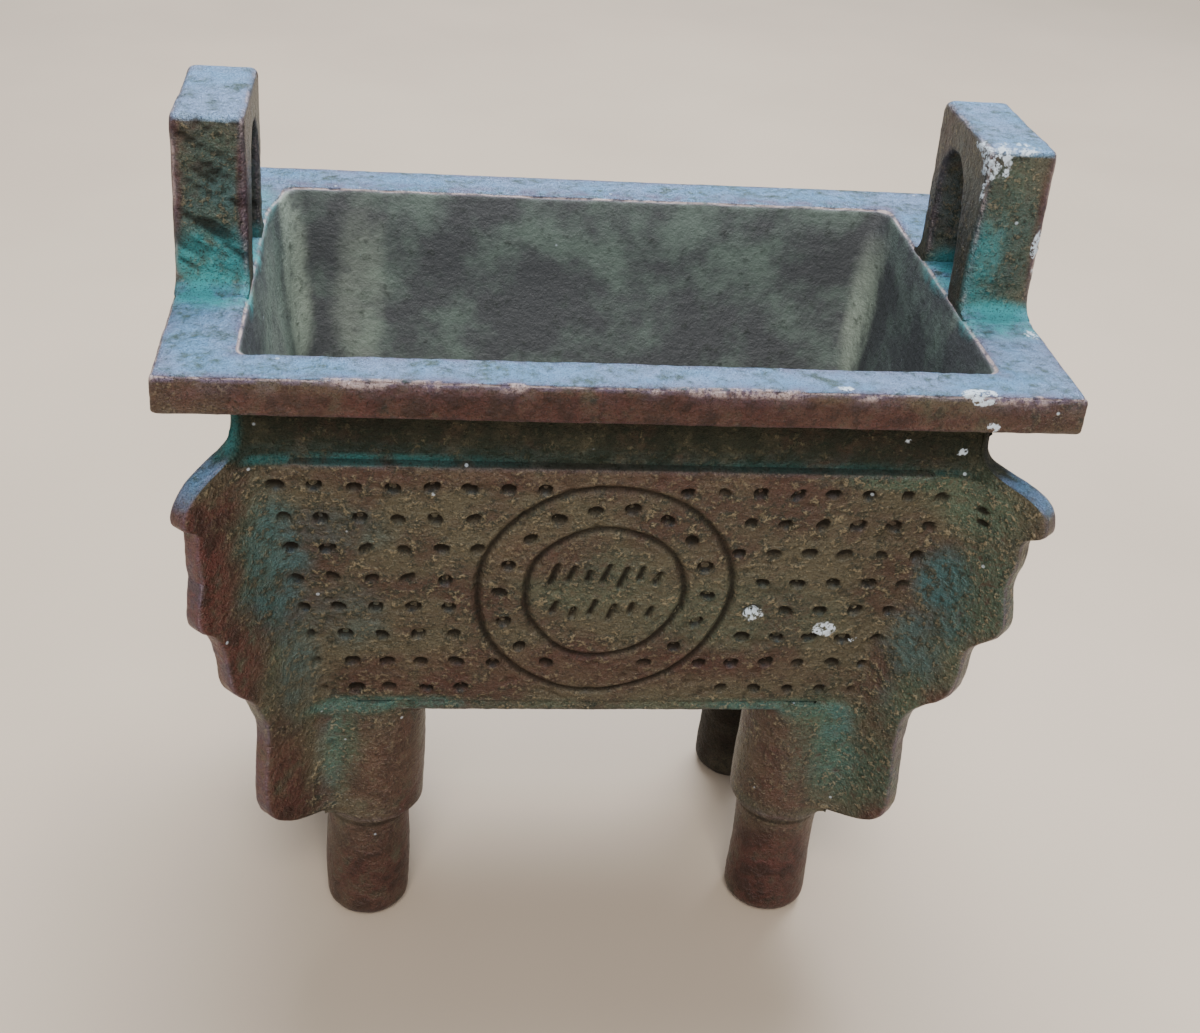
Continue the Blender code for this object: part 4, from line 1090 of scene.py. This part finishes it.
def ear_shell(side, sizes, plan):
    """An ear: a band carried up one side, over an arched slot and down the other.

    The band's section is a rectangle with rounded corners between the slot's curve and the ear's outline.
    """
    jamb, arch = 46, 56
    foot = plan.rim_top - EAR_SUNK
    spring = plan.rim_top + sizes.slot_height - sizes.slot_half_width
    top = TOP_Z
    up = np.linspace(foot, spring, jamb)
    slant = SLOT_SLANT * (1 - 2 * (up - plan.rim_top) / sizes.slot_height)
    turn = np.linspace(0, math.pi, arch + 2)[1:-1]
    slot_y = np.concatenate([
        sizes.slot_shift - sizes.slot_half_width - slant,
        sizes.slot_shift - sizes.slot_half_width * np.cos(turn) + ARCH_SWAY * np.cos(turn / 2) ** 2,
        np.full(jamb, sizes.slot_shift + sizes.slot_half_width),
    ])
    slot_z = np.concatenate([up, spring + sizes.slot_half_width * np.sin(turn), up[::-1]])
    rise = np.clip(1 - (up - plan.rim_top) / sizes.ear_flare, 0, 1)
    flare = sizes.ear_flare * (1 - np.sqrt(1 - rise**2))
    half = sizes.ear_half_width
    edge = sizes.ear_edge
    bend = np.linspace(0, math.pi / 2, 9)
    by_cos, by_sin = edge * (1 - np.cos(bend)), edge * (1 - np.sin(bend))
    outline_y = np.concatenate([[-half], -half + by_cos, half - by_sin, [half]])
    outline_z = np.concatenate([[spring], top - by_sin, top - by_cos, [spring]])
    travelled = np.concatenate([[0], np.cumsum(np.hypot(np.diff(outline_y), np.diff(outline_z)) + 1e-9)])
    even = np.linspace(0, travelled[-1], arch + 2)[1:-1]
    ear_y = np.concatenate([-half - flare, np.interp(even, travelled, outline_y), (half + flare)[::-1]])
    ear_z = np.concatenate([up, np.interp(even, travelled, outline_z), up[::-1]])
    width = np.hypot(ear_y - slot_y, ear_z - slot_z)[:, None]

    turn = np.linspace(0, math.pi / 2, 5)
    rounding = EAR_ROUNDING
    inner_x = plan.opening_x + EAR_CLEARANCE
    thickness = RIM_X - EAR_CLEARANCE - inner_x

    # Each stretch of the section gives its distances in from the outline and out from the inner face
    def run(from_in, from_out, to_in, to_out, count):
        t = np.arange(count)[None] / count
        return from_in + (to_in - from_in) * t, from_out + (to_out - from_out) * t

    def rounded(centre_in, centre_out, start):
        angle = start + turn[None, :-1]
        return centre_in - rounding * np.cos(angle), centre_out + rounding * np.sin(angle)

    deep = width - rounding
    far = thickness - rounding
    ones = np.ones_like(width)
    stretches = [
        run(0 * ones, rounding * ones, 0 * ones, far * ones, 26),
        rounded(rounding * ones, far, 0.0),
        run(rounding * ones, thickness * ones, deep, thickness * ones, 20),
        rounded(deep, far, math.pi / 2),
        run(width, far * ones, width, rounding * ones, 16),
        rounded(deep, rounding, math.pi),
        run(deep, 0 * ones, rounding * ones, 0 * ones, 20),
        rounded(rounding * ones, rounding, 1.5 * math.pi),
    ]
    depth_in = np.concatenate([np.broadcast_to(a, (len(width), a.shape[1])) for a, _ in stretches], axis=1)
    out = np.concatenate([np.broadcast_to(b, (len(width), b.shape[1])) for _, b in stretches], axis=1)
    share = depth_in / width
    y = ear_y[:, None] * (1 - share) + slot_y[:, None] * share
    z = ear_z[:, None] * (1 - share) + slot_z[:, None] * share
    taper = sizes.ear_taper * np.clip((z - plan.rim_top) / (top - plan.rim_top), 0, 1) * out / thickness
    x = side * (inner_x + out - taper)
    grid = np.stack([x, y, z], axis=-1)
    both = np.minimum(depth_in, width - depth_in) + np.minimum(out, thickness - out)
    worn = ease(1 - both / EAR_WORN_WIDTH) * ease((z - plan.rim_top) / 0.002)
    recess = 0.35 * np.exp(-(((z - plan.rim_top) / EAR_CREASE_WIDTH) ** 2))
    tool = tool_marks(grid, side)
    normals = outward(grid)
    face = np.clip(-normals[..., 1], 0, 1) * ease((z - plan.rim_top) / 0.004)
    grid = grid - normals * (TOOL_DEPTH * tool * face)[..., None]
    recess = recess + 0.65 * tool * face
    return weather(grid, worn, recess, wear_depth=EAR_WEAR)


def tool_marks(points, side):
    """Short oblique strokes left by a tool: noise stretched six times along a line that falls rightwards."""
    cos, sin = math.cos(TOOL_ANGLE), math.sin(TOOL_ANGLE)
    along = points[..., 0] * cos + points[..., 2] * sin
    across = points[..., 2] * cos - points[..., 0] * sin
    stretched = np.stack([along / TOOL_STRETCH, across, np.full(along.shape, 0.003 * side)], axis=-1)
    strength = 1.0 if side < 0 else 0.45
    return strength * ease(noise(stretched, TOOL_CELL, 61) * 2.2 - 0.9)


class Nodes:
    """Adds nodes to a material and links them, with plain calls for the few kinds that the patina needs."""

    def __init__(self, material):
        self.tree = material.node_tree
        self.links = self.tree.links
        self.column = 0

    def add(self, kind, settings=None, **inputs):
        node = self.tree.nodes.new(kind)
        node.location = (-1800 + 180 * (self.column % 12), 600 - 260 * (self.column // 12))
        self.column += 1
        for key, value in (settings or {}).items():
            setattr(node, key, value)
        for key, value in inputs.items():
            self.put(node.inputs[key.replace("_", " ")], value)
        return node

    def put(self, socket, value):
        if isinstance(value, bpy.types.NodeSocket):
            self.links.new(value, socket)
        elif hasattr(value, "__len__") and len(value) == 3 and socket.type == "RGBA":
            socket.default_value = (*value, 1.0)
        else:
            socket.default_value = value

    def field(self, name):
        return self.add("ShaderNodeAttribute", {"attribute_name": name}).outputs["Fac"]

    def noise(self, vector, scale, detail=3.0, roughness=0.55):
        made = self.add("ShaderNodeTexNoise", Vector=vector, Scale=scale, Detail=detail, Roughness=roughness)
        return made.outputs["Fac"]

    def between(self, value, low, high):
        """0 at the low value and 1 at the high one, eased."""
        made = self.add("ShaderNodeMapRange", {"interpolation_type": "SMOOTHSTEP"})
        self.put(made.inputs["Value"], value)
        self.put(made.inputs["From Min"], low)
        self.put(made.inputs["From Max"], high)
        return made.outputs["Result"]

    def math(self, operation, a, b=0.0, clamp=False):
        made = self.add("ShaderNodeMath", {"operation": operation, "use_clamp": clamp})
        self.put(made.inputs[0], a)
        self.put(made.inputs[1], b)
        return made.outputs["Value"]

    def film(self, skin, where, texture, strength, tint):
        """Lays a colour over the skin, as strong as the place, the texture and the strength together."""
        share = self.math("MULTIPLY", self.math("MULTIPLY", where, texture), strength)
        return self.mix(share, skin, tint)

    def mix(self, factor, a, b):
        made = self.add("ShaderNodeMix", {"data_type": "RGBA", "clamp_factor": True})
        self.put(made.inputs["Factor"], factor)
        self.put(made.inputs[6], a)
        self.put(made.inputs[7], b)
        return made.outputs[2]


def patinated_bronze(colours):
    """Old bronze: brown and olive skin, films and crusts of green, dark hollows and rubbed edges."""
    material = bpy.data.materials.get("patinated_bronze_skin")
    if material is not None:
        return material
    material = bpy.data.materials.new("patinated_bronze_skin")
    material.use_nodes = True
    shader = material.node_tree.nodes["Principled BSDF"]
    n = Nodes(material)
    place = n.add("ShaderNodeTexCoord").outputs["Object"]
    worn, recess, strip = n.field("worn"), n.field("recess"), n.field("edge_strip")
    lining, neck, sky_sheen_mask = n.field("lining"), n.field("neck"), n.field("sky_sheen_mask")

    broad = n.noise(place, 95.0, 4.0, 0.6)
    cloud = n.noise(place, 300.0, 5.0, 0.65)
    blotch = n.noise(place, 800.0, 4.0, 0.7)
    speckle = n.noise(place, 2000.0, 4.0, 0.7)
    grain = n.noise(place, 5200.0, 2.0, 0.6)
    outside = n.math("SUBTRACT", 1.0, lining)

    skin = n.mix(n.between(broad, 0.40, 0.62), colours.olive, colours.brown)
    copper = n.field("copper")
    skin = n.film(skin, n.field("grass"), n.between(blotch, 0.28, 0.56), 0.85, colours.grass)
    teal = n.field("teal")
    skin = n.film(skin, teal, n.between(cloud, 0.22, 0.58), 0.88, colours.teal)
    crust = n.math("MULTIPLY", n.field("verdigris"), n.between(cloud, 0.30, 0.58))
    shaded = n.between(blotch, 0.47, 0.60)
    skin = n.film(skin, shaded, n.between(broad, 0.25, 0.50), 0.85, colours.dark_green_and_shade)
    skin = n.film(skin, copper, n.between(cloud, 0.28, 0.52), 0.80, colours.copper_red)
    skin = n.film(skin, copper, n.between(cloud, 0.48, 0.60), 0.68, colours.crease)
    covered = n.math("ADD", n.math("MULTIPLY", copper, 0.85), n.math("MULTIPLY", teal, 0.75))
    bare = n.math("SUBTRACT", n.math("SUBTRACT", 1.0, recess), covered, clamp=True)
    grains = n.math("ADD", n.math("MULTIPLY", blotch, 0.45), n.math("MULTIPLY", speckle, 0.55))
    skin = n.film(skin, n.between(grains, 0.52, 0.61), bare, 0.66, colours.tan)

    inside = n.mix(n.between(broad, 0.34, 0.57), colours.lining, colours.lining_dark)
    inside = n.film(inside, n.field("grass"), n.between(cloud, 0.22, 0.55), 0.85, colours.lining_pale)
    patches = n.between(blotch, 0.52, 0.70)
    inside = n.film(inside, patches, n.between(cloud, 0.30, 0.60), 0.60, colours.dark_green_and_shade)
    skin = n.mix(lining, skin, inside)

    # Painted shade on the neck, under the rim's overhang, kept off the lining
    neck = n.math("MULTIPLY", neck, outside)
    # Painted sky reflection on the faces that look up, outside the bowl and off the neck: a teal tint, then
    # blue and violet greys
    pale = n.math("MULTIPLY", n.math("MULTIPLY", sky_sheen_mask, outside), n.math("SUBTRACT", 1.0, neck))
    skin = n.mix(n.math("MULTIPLY", pale, 0.6), skin, colours.teal)
    sky = n.mix(n.between(broad, 0.36, 0.62), colours.sky_reflection_grey, colours.sky_reflection_violet)
    skin = n.film(skin, pale, n.between(n.math("ADD", cloud, blotch), 0.70, 1.10), 0.96, sky)
    skin = n.film(skin, strip, n.between(cloud, 0.40, 0.60), 0.75, colours.lilac)
    skin = n.film(skin, worn, n.between(speckle, 0.30, 0.55), 0.70, colours.lilac)
    # Rubbed edges show bare bronze; on the rim's front lip this also stands in for a highlight
    skin = n.film(skin, n.between(worn, 0.42, 0.82), n.between(blotch, 0.38, 0.54), 0.85, colours.bare_metal_and_highlight)
    # Painted shade: dark green over the neck under the rim
    skin = n.film(skin, neck, n.between(cloud, 0.16, 0.60), 0.86, colours.dark_green_and_shade)
    skin = n.mix(n.math("MULTIPLY", crust, 0.85), skin, colours.verdigris)
    skin = n.film(skin, n.between(grain, 0.53, 0.68), outside, 0.72, colours.crease)
    # Darker where the recess field is high: pits, lines, hollows and dents, and the painted shade on the
    # legs, the rim's front and under the bowl
    sunk = n.between(recess, 0.10, 0.80)
    skin = n.mix(n.math("MULTIPLY", sunk, 0.92), skin, colours.crease)

    # Painted glints: small white specks scattered over the casting
    cells = n.add("ShaderNodeTexVoronoi", Vector=place, Scale=300.0)
    chosen = n.between(n.add("ShaderNodeSeparateColor", Color=cells.outputs["Color"]).outputs[0], 0.80, 0.82)
    glint_specks = n.math("MULTIPLY", n.between(cells.outputs["Distance"], 0.085, 0.045), chosen)
    skin = n.mix(n.math("MULTIPLY", glint_specks, 0.60), skin, colours.chalk_and_highlight)
    # White mineral crusts, and the painted highlight on the right ear's top edge, from the table of their
    # places
    ragged = n.math("ADD", n.between(speckle, 0.40, 0.56), 0.12)
    white = n.between(n.math("MULTIPLY", n.field("chalk_and_highlight"), ragged), 0.16, 0.40)
    skin = n.mix(white, skin, colours.chalk_and_highlight)
    n.links.new(skin, shader.inputs["Base Color"])

    rough = n.math("ADD", n.math("MULTIPLY", speckle, 0.40), 0.16)
    rough = n.math("ADD", rough, n.math("MULTIPLY", crust, 0.30))
    rough = n.math("ADD", rough, n.math("MULTIPLY", lining, 0.20))
    rough = n.math("ADD", rough, n.math("MULTIPLY", sunk, 0.30))
    rough = n.math("ADD", rough, n.math("MULTIPLY", white, 0.40), clamp=True)
    n.links.new(rough, shader.inputs["Roughness"])
    metal = n.math("SUBTRACT", n.math("MULTIPLY", outside, 0.40), n.math("MULTIPLY", crust, 0.3), clamp=True)
    metal = n.math("SUBTRACT", metal, white, clamp=True)
    shine = n.math("SUBTRACT", 0.65, n.math("MULTIPLY", n.math("ADD", sunk, neck, clamp=True), 0.40))
    n.links.new(shine, shader.inputs["Specular IOR Level"])
    n.links.new(metal, shader.inputs["Metallic"])

    height = n.math("ADD", n.math("MULTIPLY", cloud, 0.6), n.math("MULTIPLY", blotch, 0.6))
    height = n.math("ADD", height, n.math("MULTIPLY", speckle, 0.34))
    height = n.math("ADD", height, n.math("MULTIPLY", grain, 0.08))
    smooth = n.math("SUBTRACT", 1.0, n.math("MULTIPLY", lining, 0.45))
    bump = n.add("ShaderNodeBump", Strength=smooth, Distance=0.00095, Height=height)
    n.links.new(bump.outputs["Normal"], shader.inputs["Normal"])
    return material


def floor_paint(colours):
    """A plain pale floor with the faintest unevenness."""
    material = bpy.data.materials.new("pale_floor")
    material.use_nodes = True
    shader = material.node_tree.nodes["Principled BSDF"]
    n = Nodes(material)
    place = n.add("ShaderNodeTexCoord").outputs["Object"]
    uneven = n.noise(place, 9.0, 3.0)
    darker = tuple(0.92 * channel for channel in colours.floor)
    n.links.new(n.mix(n.between(uneven, 0.3, 0.7), colours.floor, darker), shader.inputs["Base Color"])
    shader.inputs["Roughness"].default_value = 0.55
    return material


class BURNER_OT_walls(bpy.types.Operator):
    """Build the tapered walls with their rows of pits and the oval"""

    bl_idname = "burner.walls"
    bl_label = "Walls"

    def execute(self, context):
        sizes = context.scene.burner_sizes
        for name, side in (("front_walls", -1), ("back_walls", 1)):
            grid, fields = wall_shell(sizes, Plan(sizes), side)
            add_piece(context, name, [grid], [fields])
        return {"FINISHED"}


class BURNER_OT_rim(bpy.types.Operator):
    """Build the neck, the rim plate and the lining of the bowl"""

    bl_idname = "burner.rim"
    bl_label = "Rim and lining"

    def execute(self, context):
        sizes = context.scene.burner_sizes
        grid, fields = rim_shell(sizes, Plan(sizes))
        add_piece(context, "rim_and_lining", [grid], [fields])
        return {"FINISHED"}


class BURNER_OT_fins(bpy.types.Operator):
    """Build the four scalloped fins"""

    bl_idname = "burner.fins"
    bl_label = "Fins"

    def execute(self, context):
        sizes = context.scene.burner_sizes
        plan = Plan(sizes)
        made = [fin_shell(x, y, sizes, plan) for x in (-1, 1) for y in (-1, 1)]
        add_piece(context, "corner_fins", *zip(*made))
        return {"FINISHED"}


class BURNER_OT_legs(bpy.types.Operator):
    """Build the four round legs with their thighs"""

    bl_idname = "burner.legs"
    bl_label = "Legs"

    def execute(self, context):
        sizes = context.scene.burner_sizes
        plan = Plan(sizes)
        made = [leg_shell(x, y, sizes, plan) for x in (-1, 1) for y in (-1, 1)]
        add_piece(context, "legs", *zip(*made))
        return {"FINISHED"}


class BURNER_OT_ears(bpy.types.Operator):
    """Build the two upright ears with their slots"""

    bl_idname = "burner.ears"
    bl_label = "Ears"

    def execute(self, context):
        sizes = context.scene.burner_sizes
        plan = Plan(sizes)
        made = [ear_shell(side, sizes, plan) for side in (-1, 1)]
        add_piece(context, "ears", *zip(*made))
        return {"FINISHED"}


def add_lamp(context, name, place, size, power, tint):
    """A square soft lamp at a place, turned to the middle of the bowl."""
    light = bpy.data.lights.new(name, "AREA")
    light.size = size
    light.energy = power
    light.color = tint
    lamp = bpy.data.objects.new(name, light)
    back = np.array(place, float) - np.array(LAMP_AIM, float)
    back /= np.linalg.norm(back)
    right = np.cross((0.0, 0.0, 1.0), back)
    right /= np.linalg.norm(right)
    up = np.cross(back, right)
    turn = Matrix((right, up, back)).transposed().to_4x4()
    lamp.matrix_world = Matrix.Translation(place) @ turn
    context.scene.collection.objects.link(lamp)


class BURNER_OT_stage(bpy.types.Operator):
    """Add the pale floor, the soft light and the camera"""

    bl_idname = "burner.stage"
    bl_label = "Floor, light and camera"

    def execute(self, context):
        colours = context.scene.burner_colours
        mesh = bpy.data.meshes.new("floor")
        signs = ((-1, -1), (1, -1), (1, 1), (-1, 1))
        mesh.from_pydata([(x * FLOOR_REACH, y * FLOOR_REACH, 0) for x, y in signs], [], [(0, 1, 2, 3)])
        mesh.materials.append(floor_paint(colours))
        floor = bpy.data.objects.new("floor", mesh)
        context.scene.collection.objects.link(floor)

        world = bpy.data.worlds.new("studio")
        world.use_nodes = True
        background = world.node_tree.nodes["Background"]
        background.inputs["Color"].default_value = SKY_TINT
        background.inputs["Strength"].default_value = SKY_STRENGTH
        context.scene.world = world
        for lamp in LAMPS:
            add_lamp(context, *lamp)

        camera = bpy.data.cameras.new("camera")
        camera.lens = CAMERA_LENS
        camera.sensor_width = CAMERA_SENSOR
        camera.sensor_fit = "HORIZONTAL"
        camera.clip_start = 0.01
        viewer = bpy.data.objects.new("camera", camera)
        viewer.matrix_world = camera_matrix()
        context.scene.collection.objects.link(viewer)
        context.scene.camera = viewer
        return {"FINISHED"}


def camera_matrix():
    """The camera's place and turn: along its azimuth and down, then rolled about its own view line."""
    ahead = np.array([
        math.sin(CAMERA_AZIMUTH) * math.cos(CAMERA_DOWN),
        math.cos(CAMERA_AZIMUTH) * math.cos(CAMERA_DOWN),
        -math.sin(CAMERA_DOWN),
    ])
    level = np.array([math.cos(CAMERA_AZIMUTH), -math.sin(CAMERA_AZIMUTH), 0.0])
    above = np.cross(level, ahead)
    right = level * math.cos(CAMERA_ROLL) + above * math.sin(CAMERA_ROLL)
    up = above * math.cos(CAMERA_ROLL) - level * math.sin(CAMERA_ROLL)
    turn = Matrix((right, up, -ahead)).transposed().to_4x4()
    return Matrix.Translation(CAMERA_PLACE) @ turn


class BURNER_PT_panel(bpy.types.Panel):
    """Sizes, colours and steps of the burner"""

    bl_label = "Incense burner"
    bl_idname = "BURNER_PT_panel"
    bl_space_type = "VIEW_3D"
    bl_region_type = "UI"
    bl_category = "Burner"

    def draw(self, context):
        layout = self.layout
        for step in STEPS:
            layout.operator(step.bl_idname)
        groups = {"Sizes": context.scene.burner_sizes, "Colours": context.scene.burner_colours}
        for title, group in groups.items():
            box = layout.box()
            box.label(text=title)
            for name in group.__annotations__:
                box.prop(group, name)


GROUPS = (BurnerSizes, BurnerColours)
STEPS = (BURNER_OT_walls, BURNER_OT_rim, BURNER_OT_fins, BURNER_OT_legs, BURNER_OT_ears, BURNER_OT_stage)


def register():
    for made in (*GROUPS, *STEPS, BURNER_PT_panel):
        bpy.utils.register_class(made)
    bpy.types.Scene.burner_sizes = PointerProperty(type=BurnerSizes)
    bpy.types.Scene.burner_colours = PointerProperty(type=BurnerColours)


def unregister():
    del bpy.types.Scene.burner_colours
    del bpy.types.Scene.burner_sizes
    for made in reversed((*GROUPS, *STEPS, BURNER_PT_panel)):
        bpy.utils.unregister_class(made)


def main():
    register()
    bpy.ops.burner.walls()
    bpy.ops.burner.rim()
    bpy.ops.burner.fins()
    bpy.ops.burner.legs()
    bpy.ops.burner.ears()
    bpy.ops.burner.stage()


if __name__ == "__main__":
    main()
